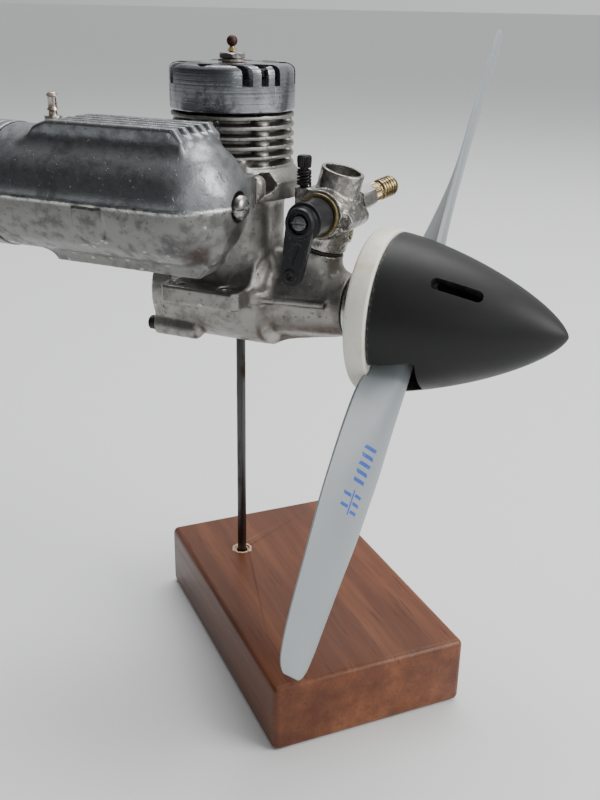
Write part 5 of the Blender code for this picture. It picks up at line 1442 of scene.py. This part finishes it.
def muffler_metal():
    """Blue-grey and smoother above the parting line; below it, painted shade makes the underside warmer,
    darker and blotched.
    """
    finish = cast_metal(
        "muffler_casting", (0.24, 0.247, 0.257), (0.09, 0.092, 0.1), 0.7, 1500.0, 0.36, 0.1
    )
    tree = finish.node_tree
    shader = tree.nodes["Principled BSDF"]
    cast_colour = shader.inputs["Base Color"].links[0].from_socket
    height = add_node(tree, "ShaderNodeSeparateXYZ", None, Vector=place_of(tree)).outputs[2]
    # painted shade: everything below the parting line is multiplied to a warmer, darker tone
    painted_underside_shade = soft_step(tree, height, (MUFFLER_Z + 0.4) * MM, (MUFFLER_Z - 0.5) * MM)
    flash = math_node(tree, "ABSOLUTE", math_node(tree, "SUBTRACT", height, MUFFLER_Z * MM))
    flash = soft_step(tree, flash, 0.9 * MM, 0.2 * MM)
    broken = soft_step(tree, noise_at(tree, place_of(tree), 420, 5.0, 0.7), 0.4, 0.62)
    flash = math_node(tree, "MULTIPLY", flash, broken)
    shaded_underside_colour = mix_colours(tree, 1.0, cast_colour, (0.82, 0.79, 0.74, 1), "MULTIPLY")
    colour = mix_colours(tree, painted_underside_shade, cast_colour, shaded_underside_colour)
    colour = mix_colours(tree, math_node(tree, "MULTIPLY", flash, 0.6), colour, (0.7, 0.69, 0.67, 1))
    tree.links.new(colour, shader.inputs["Base Color"])
    return finish


MUFFLER_METAL = muffler_metal()
muffler = muffler_form().pour("muffler_casting_body", 150000)
fit(muffler, MUFFLER_METAL, "muffler_casting", "root", "muffler_body")

CAP_FRONT, CAP_R, CAP_DOME, CAP_END = SEAM_X - 0.3, 16.3, -58.0, -70.0
PIPE_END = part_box("muffler_rear_cap")[0].x / MM
angles = [math.radians(5 * k) for k in range(13)]
cap_out = [(CAP_R * math.cos(a), CAP_DOME + (CAP_END - CAP_DOME) * math.sin(a)) for a in angles]
cap_in = [
    ((CAP_R - 2) * math.cos(a), CAP_DOME + (CAP_END + 2.5 - CAP_DOME) * math.sin(a))
    for a in angles[::-1]
]
cap_profile = [(CAP_R - 0.2, CAP_FRONT), (CAP_R, CAP_FRONT - 0.3), (CAP_R, -48.4), (CAP_R - 0.25, -48.8),
               (CAP_R - 0.25, -49.4), (CAP_R, -49.8)]
cap_profile += cap_out + [(1.8, cap_out[-1][1]), (1.8, cap_in[0][1])] + cap_in + [(CAP_R - 2, CAP_FRONT)]
rear_cap = turned("rear_cap_pressed", cap_profile, muffler_point(0), CRANK_DIR, 128, 0.1, 40)
face_outward(rear_cap)
TAIL_Y, TAIL_Z = MUFFLER_Y - 7.0, MUFFLER_Z - 6.0
pipe = turned(
    "tail_pipe",
    [(4.7, -62), (4.7, PIPE_END + 1.2), (4.9, PIPE_END + 0.9), (4.9, PIPE_END + 0.3),
     (4.7, PIPE_END), (0, PIPE_END), (0, -62)][::-1],
    (0, TAIL_Y, TAIL_Z), CRANK_DIR, 64, 0.1,
)
carve(rear_cap, pipe, way="UNION")
carve(rear_cap, round_bar("tail_bore", 3.6, (-79, TAIL_Y, TAIL_Z), (-58, TAIL_Y, TAIL_Z), 48))
shade(rear_cap, 35)
fit(rear_cap, MUFFLER_METAL, "muffler_casting", "root", "muffler_rear_cap")

PLATE_STEEL = lathe_finish(
    "dull_chrome", (0.4, 0.39, 0.38), (0.1, 0.085, 0.07), 0.8, 0.24, muffler_point(0), CRANK_DIR
)
BOLT_TAIL = cap_out[-1][1] - 3.4
bolt = turned(
    "through_bolt",
    [(0, 21.4), (2.0, 21.4), (2.75, 20.9), (3.0, 20.2), (3.0, 17.5), (2.8, 17.3), (1.5, 17.3),
     (1.5, BOLT_TAIL + 0.4), (1.2, BOLT_TAIL), (0, BOLT_TAIL)],
    muffler_point(0), CRANK_DIR, 64, 0.12,
)
carve(bolt, box_solid("bolt_slot", (20.2, -45, 139.5), (23, -30, 140.3), 0.1, 2))
shade(bolt)
fit(bolt, PLATE_STEEL, "plated_steel", "root", "muffler_through_bolt")

nut_x = cap_out[-1][1] - 0.3


def hex_solid(name, across_flats, start, end, chamfer=0.4):
    """A hexagon bar between two points with the corners of both ends rounded off."""
    start, end = Vector(start), Vector(end)
    length = (end - start).length
    corner = across_flats / math.sqrt(3)
    piece = turned(name, [(0, length), (corner, length), (corner, 0), (0, 0)], start, end - start, 6, 0)
    core = turned(
        name + "_core",
        [(0, length), (across_flats * 0.48, length), (corner, length - chamfer), (corner, chamfer),
         (across_flats * 0.48, 0), (0, 0)],
        start, end - start, 64, 0,
    )
    carve(piece, core, way="INTERSECT")
    shade(piece, 30)
    return piece


bolt_nut = hex_solid("through_bolt_nut", 5.5, muffler_point(nut_x - 2.4), muffler_point(nut_x))
carve(bolt_nut, round_bar("nut_bore", 1.8, muffler_point(nut_x - 5), muffler_point(nut_x + 3), 32))
shade(bolt_nut, 30)
fit(bolt_nut, PLATE_STEEL, "plated_steel", "root", "muffler_bolt_nut")

nipple = turned(
    "pressure_nipple_turned",
    [(0, 163.2), (1.0, 163.2), (1.6, 162.4), (1.2, 162.0), (1.2, 159.4), (1.6, 158.8), (1.2, 158.5),
     (1.2, 157.3), (2.4, 157.3), (2.4, 155.6), (1.2, 155.6), (1.2, 152.4), (0, 152.4)],
    (*NIPPLE_PLACE, 0), (0, 0, 1), 48, 0.12,
)
carve(nipple, round_bar("nipple_bore", 0.6, (*NIPPLE_PLACE, 150), (*NIPPLE_PLACE, 165), 20))
shade(nipple)
NIPPLE_STEEL = lathe_finish(
    "bronzed_chrome", (0.62, 0.57, 0.52), (0.3, 0.16, 0.1), 0.7, 0.18, (*NIPPLE_PLACE, 0), (0, 0, 1)
)
fit(nipple, NIPPLE_STEEL, "plated_steel", "root", "pressure_nipple")
for side, word in ((1, "front"), (-1, "rear")):
    seat = (CYL_X + side * EAR_OFFSET, -14.6, PORT_Z)
    screw = socket_screw(f"pad_screw_{word}", seat, (0, 1, 0), 1.0, 12, 2.1, 2.2)
    fit(screw, BLACK_OXIDE, "black_steel", "root", f"muffler_screw_{word}")

# ---- Carburettor body ---------------------------------------------------------------------------
# A small aluminium casting: flared mouth, crossways throttle housing, a deck under the mouth, and
# bosses for the idle screw, needle, fuel nipple and air screw; a rubber seal stops air at its foot.

BARREL_AXIS = Vector((28.4, 0, 134.0))
NEEDLE_DIR = Vector((0.457, 0.862, 0.216)).normalized()
IDLE_X, IDLE_Y = 22.1, -5.0
AIR_POINT = carb_point(17.6) + Vector((5.2, 0, 0))
FUEL_LINE = (25.0, 0, 129.9)


def barrel_point(y):
    return BARREL_AXIS + Vector((0, y, 0))


def needle_point(far):
    return BARREL_AXIS + NEEDLE_DIR * far


def carb_form():
    """The body joined with small fillets, then the throat, barrel bore and screw holes."""
    low, high = node_box("carb_body")
    form = Mould(low, high, 0.16)
    form.join(form.bar(carb_point(10), carb_point(0), 5.9, ease=0.35), fillet=0)
    form.join(form.bar(carb_point(21.4), carb_point(8), 6.7, ease=0.3), fillet=0)
    # The deck is a lobed plate tilted with the mouth: its outline is drawn in its own flat frame.
    across = (form.x - MOUTH.x) * CARB_UP.z - (form.z - MOUTH.z) * CARB_UP.x
    depth = -((form.x - MOUTH.x) * CARB_UP.x + (form.z - MOUTH.z) * CARB_UP.z)
    lobes = None
    for u, y, r in [
        (0, -1.2, 6.5), (-3.4, -5.1, 3.2), (3.4, -5.1, 3.2), (-3.6, 2.2, 2.8), (3.6, 2.2, 2.8)
    ]:
        lobe = np.hypot(across - u, form.y - y) - r
        lobes = lobe if lobes is None else np.minimum(lobes, lobe)
    plate = np.maximum(lobes, np.abs(depth - 7.6) - 1.05)
    form.join(plate, fillet=0.5)
    form.join(
        form.bar(barrel_point(-9.0), barrel_point(5.2), 6.5, ease=0.4),
        form.bar((IDLE_X, IDLE_Y, 131), (IDLE_X, IDLE_Y, 140.2), 2.4, ease=0.25),
        form.bar(needle_point(3), needle_point(8.4), 3.5, ease=0.3),
        form.bar((34.8, -7.6, 132.3), (34.8, 5.0, 132.3), 2.6, ease=0.35),
        form.bar((25.0, 0, 129.9), (25.0, 8.0, 129.9), 2.4, ease=0.25),
        form.bar(AIR_POINT - Vector((4, 0, 0)), AIR_POINT + Vector((2, 0, 0)), 2.3, ease=0.25),
        fillet=0.5,
    )
    form.roughen(0.03, 2.3)
    form.cut(form.bar(carb_point(22.4), carb_point(21.4), 9.0, ease=0))
    form.join(form.bar(carb_point(27.2), carb_point(20), 4.9, ease=0.2), fillet=0)
    form.cut(
        form.bar(carb_point(3), carb_point(-2), 4.9, ease=0),
        form.bar(carb_point(8), carb_point(2.9), 3.4, 4.9, 0),
        form.bar(carb_point(30), carb_point(7.5), 3.4, ease=0),
        form.bar(barrel_point(-20), barrel_point(4.1), 4.6, ease=0),
        form.bar((IDLE_X, IDLE_Y, 135.2), (IDLE_X, IDLE_Y, 145), 1.4, ease=0),
        form.bar(needle_point(5.9), needle_point(12), 2.0, ease=0),
        form.bar(AIR_POINT - Vector((3, 0, 0)), AIR_POINT + Vector((4, 0, 0)), 1.3, ease=0),
        form.bar((25.0, 4.8, 129.9), (25.0, 12, 129.9), 1.3, ease=0),
        form.bar((34.8, -9, 132.3), (34.8, -6.6, 132.3), 1.5, ease=0.1),
    )
    return form


CARB_METAL = cast_metal(
    "carb_casting", (0.38, 0.37, 0.35), (0.1, 0.088, 0.072), 0.75, 2600.0, 0.28, 0.1
)
carb = carb_form().pour("carb_casting_body", 150000)
fit(carb, CARB_METAL, "carb_casting", "root", "carb_body")
rubber = plain_finish("seal_rubber", (0.015, 0.014, 0.014), 0.7)
dusty = noise_at(rubber.node_tree, place_of(rubber.node_tree), 1500, 3.0, 0.6)
rubber.node_tree.links.new(
    mix_colours(rubber.node_tree, dusty, (0.01, 0.01, 0.01, 1), (0.035, 0.03, 0.028, 1)),
    rubber.node_tree.nodes["Principled BSDF"].inputs["Base Color"],
)
refinish({"carb_seal": rubber, "carb_set_screw": BLACK_OXIDE})

# ---- Throttle -----------------------------------------------------------------------------------
# A ground steel barrel turns in the body behind a brass collar. A black plastic arm, moulded with
# a round drum, is held on its end by a plated screw sunk in a ringed recess.

BARREL_DIR = (0, 1, 0)
barrel = turned(
    "throttle_barrel_ground",
    [(0, 3.8), (4.1, 3.8), (4.3, 3.6), (4.3, -9.0), (4.1, -9.2), (2.0, -9.2), (2.0, -15.7),
     (1.8, -16.0), (0, -16.0)],
    BARREL_AXIS, BARREL_DIR, 72, 0.1,
)
hole_dir = (Matrix.Rotation(math.radians(-70), 3, "Y") @ CARB_UP) * 10
carve(
    barrel,
    round_bar("barrel_hole", 3.1, BARREL_AXIS - hole_dir, BARREL_AXIS + hole_dir, 48),
    round_bar("arm_screw_hole", 1.3, barrel_point(-17), barrel_point(-12), 24),
)
shade(barrel)
THROTTLE_STEEL = lathe_finish(
    "throttle_steel", (0.5, 0.49, 0.47), (0.2, 0.16, 0.1), 0.6, 0.24, BARREL_AXIS, BARREL_DIR
)
fit(barrel, THROTTLE_STEEL, "ground_steel", "throttle", "throttle_barrel")
collar = turned(
    "throttle_collar_turned",
    [(5.9, -9.3), (5.9, -10.4), (4.6, -10.4), (4.6, -9.3)], BARREL_AXIS, BARREL_DIR, 96, 0.2
)
OLIVE_BRASS = (0.32, 0.25, 0.13)
BRASS_STAIN = (0.12, 0.085, 0.04)
COLLAR_BRASS = lathe_finish(
    "collar_brass", OLIVE_BRASS, BRASS_STAIN, 0.7, 0.28, BARREL_AXIS, BARREL_DIR
)
fit(collar, COLLAR_BRASS, "brass", "root", "throttle_collar")

ARM_TIP = Vector((26.0, 0, 120.0))
ARM_FRONT, ARM_BACK = -21.4, -18.8


def arm_form():
    """Two discs joined by tangent sides, with a raised rim, a drum behind and a ringed hub."""
    low, high = node_box("throttle_arm")
    form = Mould(low, high, 0.13)
    hub = np.hypot(form.x - BARREL_AXIS.x, form.z - BARREL_AXIS.z)
    reach = Vector((ARM_TIP.x - BARREL_AXIS.x, ARM_TIP.z - BARREL_AXIS.z))
    u, v = form.x - BARREL_AXIS.x, form.z - BARREL_AXIS.z
    along = np.clip((u * reach.x + v * reach.y) / reach.length_squared, 0, 1)
    side = np.hypot(u - reach.x * along, v - reach.y * along)
    blade = side - (3.9 + (2.9 - 3.9) * along)
    ease = 0.35
    q, w = blade + ease, np.abs(form.y - (ARM_FRONT + ARM_BACK) / 2) - (ARM_BACK - ARM_FRONT) / 2 + ease
    arm = np.minimum(np.maximum(q, w), 0) + np.hypot(np.maximum(q, 0), np.maximum(w, 0)) - ease
    form.join(arm, fillet=0)
    form.join(
        form.bar(barrel_point(-19), barrel_point(-10.7), 5.0, ease=0.4),
        form.bar(barrel_point(-22.1), barrel_point(-20), 3.8, ease=0.3),
        fillet=0.3,
    )
    ring = np.maximum(np.abs(hub - 3.2) - 0.12, -22.0 - form.y)
    form.cut(np.maximum(ring, form.y + 21.9), fillet=0)
    tip = form.bar(ARM_TIP + Vector((0, -21.7, 0)), ARM_TIP + Vector((0, -20, 0)), 1.7, ease=0.15)
    form.join(tip, fillet=0.15)
    # A shallow wedge-shaped relief runs down the middle of the arm.
    wedge = [(26.2, 128.6), (28.5, 128.2), (26.5, 123.2)]
    form.cut(form.plate(wedge, "Y", ARM_FRONT - 1, ARM_FRONT + 0.22, 0.1), fillet=0.08)
    form.cut(
        form.bar(barrel_point(-23), barrel_point(-21.0), 2.8, ease=0),
        form.bar(barrel_point(-16.3), barrel_point(-8), 2.3, ease=0),
        form.bar(barrel_point(-24), barrel_point(-10), 1.3, ease=0),
        form.bar(ARM_TIP - Vector((0, 25, 0)), ARM_TIP - Vector((0, 15, 0)), 0.9, ease=0),
    )
    return form


arm = arm_form().pour("throttle_arm_moulded", 60000)
ARM_PLASTIC = plain_finish("satin_black_plastic", (0.008, 0.0085, 0.01), 0.32)
tree = ARM_PLASTIC.node_tree
shader = tree.nodes["Principled BSDF"]
oily = noise_at(tree, place_of(tree), 500, 4.0, 0.6)
edge = add_node(tree, "ShaderNodeNewGeometry").outputs["Pointiness"]
shader.inputs["Specular IOR Level"].default_value = 0.25
black = mix_colours(tree, oily, (0.005, 0.0055, 0.008, 1), (0.013, 0.013, 0.015, 1))
rubbed = math_node(tree, "MULTIPLY", soft_step(tree, edge, 0.54, 0.64), 0.35)
tree.links.new(mix_colours(tree, rubbed, black, (0.14, 0.14, 0.14, 1)), shader.inputs["Base Color"])
tree.links.new(math_node(tree, "MULTIPLY_ADD", oily, 0.3, 0.2), shader.inputs["Roughness"])
fit(arm, ARM_PLASTIC, "black_plastic", "throttle", "throttle_arm")
arm_screw = turned(
    "arm_screw",
    [(0, 0.8), (1.7, 0.8), (2.1, 0.4), (2.1, 0), (1.0, 0), (1.0, -7.2), (0, -7.2)],
    barrel_point(-21.3), (0, -1, 0), 48, 0.1,
)
seat = barrel_point(-22.1)
slot_low, slot_high = seat - Vector((2.6, 1, 0.25)), seat + Vector((2.6, 0.4, 0.25))
carve(arm_screw, box_solid("arm_slot", slot_low, slot_high, 0.05))
shade(arm_screw)
ARM_SCREW_STEEL = lathe_finish(
    "arm_screw_steel", (0.13, 0.13, 0.135), (0.04, 0.038, 0.036), 0.7, 0.3, BARREL_AXIS, BARREL_DIR
)
fit(arm_screw, ARM_SCREW_STEEL, "plated_steel", "throttle", "throttle_arm_screw")

# ---- Idle and air screws ------------------------------------------------------------------------
# The idle stop is a black knurled screw with a slot, held still by a steel wire spring. The air
# bleed is a small slotted brass screw in the side of the body.

idle_profile = [
    (0, 148.6), (1.6, 148.6), (1.95, 148.25), (2.0, 147.4), (1.85, 145.6), (1.7, 145.4), (1.1, 145.4),
    (1.1, 135.9), (0.8, 135.6), (0, 135.6),
]
dense = []
for (r, z), (r_next, z_next) in zip(idle_profile, idle_profile[1:]):
    steps = max(1, int(abs(z_next - z) / 0.6))
    dense += [(r + (r_next - r) * k / steps, z + (z_next - z) * k / steps) for k in range(steps)]
dense.append(idle_profile[-1])
idle = turned("idle_screw_knurled", dense, (IDLE_X, IDLE_Y, 0), (0, 0, 1), 144, 0.05)
knurled(idle, 145.55, 148.3, 1.5, 0.16, 26, (IDLE_X, IDLE_Y, 0), (0, 0, 1))
slot_low, slot_high = (IDLE_X - 3, IDLE_Y - 0.3, 147.9), (IDLE_X + 3, IDLE_Y + 0.3, 150)
carve(idle, box_solid("idle_slot", slot_low, slot_high, 0.06, 2))
shade(idle, 35)
fit(idle, BLACK_OXIDE, "black_steel", "idle_screw", "idle_stop_screw")


def wire_coil(name, wire_r, coil_r, foot, height, turns, steps=48, round_count=16):
    """A helical wire with its end turns closed up."""
    points, faces = [], []
    count = int(turns * steps)
    for k in range(count + 1):
        share = k / count
        turn = math.tau * turns * share
        rise = height * (share - 0.045 * math.sin(math.tau * share))
        centre = Vector(foot) + Vector((coil_r * math.cos(turn), coil_r * math.sin(turn), rise))
        out = Vector((math.cos(turn), math.sin(turn), 0))
        for j in range(round_count):
            a = math.tau * j / round_count
            points.append(centre + out * wire_r * math.cos(a) + Vector((0, 0, wire_r * math.sin(a))))
    for k in range(count):
        for j in range(round_count):
            a, b = k * round_count + j, k * round_count + (j + 1) % round_count
            faces.append([a, a + round_count, b + round_count, b])
    faces.append(list(range(round_count)))
    faces.append([count * round_count + j for j in range(round_count)][::-1])
    return new_piece(name, points, faces, 50)


spring_low, spring_high = node_box("idle_screw_spring")
spring_foot = (IDLE_X, IDLE_Y, spring_low.z + 0.3)
spring = wire_coil(
    "idle_spring_wire", 0.3, 1.72, spring_foot, spring_high.z - spring_low.z - 0.6, 5.5
)
fit(spring, BLACK_OXIDE, "black_steel", "root", "idle_screw_spring")
air_screw = round_bar(
    "air_screw", 1.0, AIR_POINT - Vector((2.6, 0, 0)), AIR_POINT + Vector((2.4, 0, 0)), 40, 0.12
)
slot_low, slot_high = AIR_POINT + Vector((2, -3, -0.25)), AIR_POINT + Vector((4, 3, 0.25))
carve(air_screw, box_solid("air_slot", slot_low, slot_high, 0.05, 2))
shade(air_screw)
AIR_BRASS = lathe_finish("air_screw_brass", OLIVE_BRASS, BRASS_STAIN, 0.6, 0.3, AIR_POINT, CRANK_DIR)
fit(air_screw, AIR_BRASS, "brass", "air_screw", "air_bleed_screw")

# ---- Needle valve and fuel nipple ---------------------------------------------------------------
# A grey steel hexagon seat carries a brass needle with a finely knurled collar and a ringed knob.
# The fuel nipple is a barbed brass tube in the back of the body.

valve_seat = hex_solid("needle_seat", 6.4, needle_point(8.7), needle_point(13.8), 0.5)
thread = round_bar("seat_thread", 1.6, needle_point(6.3), needle_point(9.5), 40, 0.15)
carve(valve_seat, thread, way="UNION")
carve(valve_seat, round_bar("needle_way", 0.9, needle_point(5), needle_point(20), 32))
shade(valve_seat, 30)
SEAT_STEEL = lathe_finish(
    "needle_seat_steel", (0.13, 0.127, 0.12), (0.05, 0.042, 0.035), 0.7, 0.34, BARREL_AXIS, NEEDLE_DIR
)
fit(valve_seat, SEAT_STEEL, "plated_steel", "root", "needle_valve_seat")

needle_profile = [(0, 22.8), (1.3, 22.75), (2.1, 22.5), (2.65, 21.9), (2.9, 21.2)]
for ring in (20.6, 19.7, 18.8, 17.9):
    needle_profile += [(2.9, ring + 0.16), (2.62, ring + 0.06), (2.62, ring - 0.1), (2.9, ring - 0.2)]
needle_profile += [
    (2.9, 17.2), (2.75, 17.0), (2.35, 16.8), (2.35, 16.35), (2.6, 16.1), (2.6, 15.5), (2.6, 14.9),
    (2.6, 14.35), (2.45, 14.1), (0.6, 14.1), (0.6, 7.5), (0, 6.6),
]
needle = turned("needle_turned", needle_profile, BARREL_AXIS, NEEDLE_DIR, 160, 0.06)
knurled(needle, 14.3, 16.15, 2.3, 0.12, 40, BARREL_AXIS, NEEDLE_DIR)
shade(needle, 35)
NEEDLE_BRASS = lathe_finish(
    "needle_brass", OLIVE_BRASS, BRASS_STAIN, 0.85, 0.26, BARREL_AXIS, NEEDLE_DIR
)
fit(needle, NEEDLE_BRASS, "brass", "needle", "mixture_needle")
fuel = turned(
    "fuel_nipple_turned",
    [(0, 16.7), (1.2, 16.7), (1.7, 15.7), (1.3, 15.6), (1.3, 13.6), (1.7, 12.8), (1.3, 12.7),
     (1.3, 10.2), (2.3, 10.2), (2.3, 8.3), (1.0, 8.3), (1.0, 5.2), (0, 5.2)],
    FUEL_LINE, BARREL_DIR, 48, 0.1,
)
carve(fuel, round_bar("fuel_bore", 0.6, (25, 4, 129.9), (25, 20, 129.9), 20))
shade(fuel)
FUEL_BRASS = lathe_finish("fuel_brass", OLIVE_BRASS, BRASS_STAIN, 0.7, 0.28, FUEL_LINE, BARREL_DIR)
fit(fuel, FUEL_BRASS, "brass", "root", "fuel_nipple")
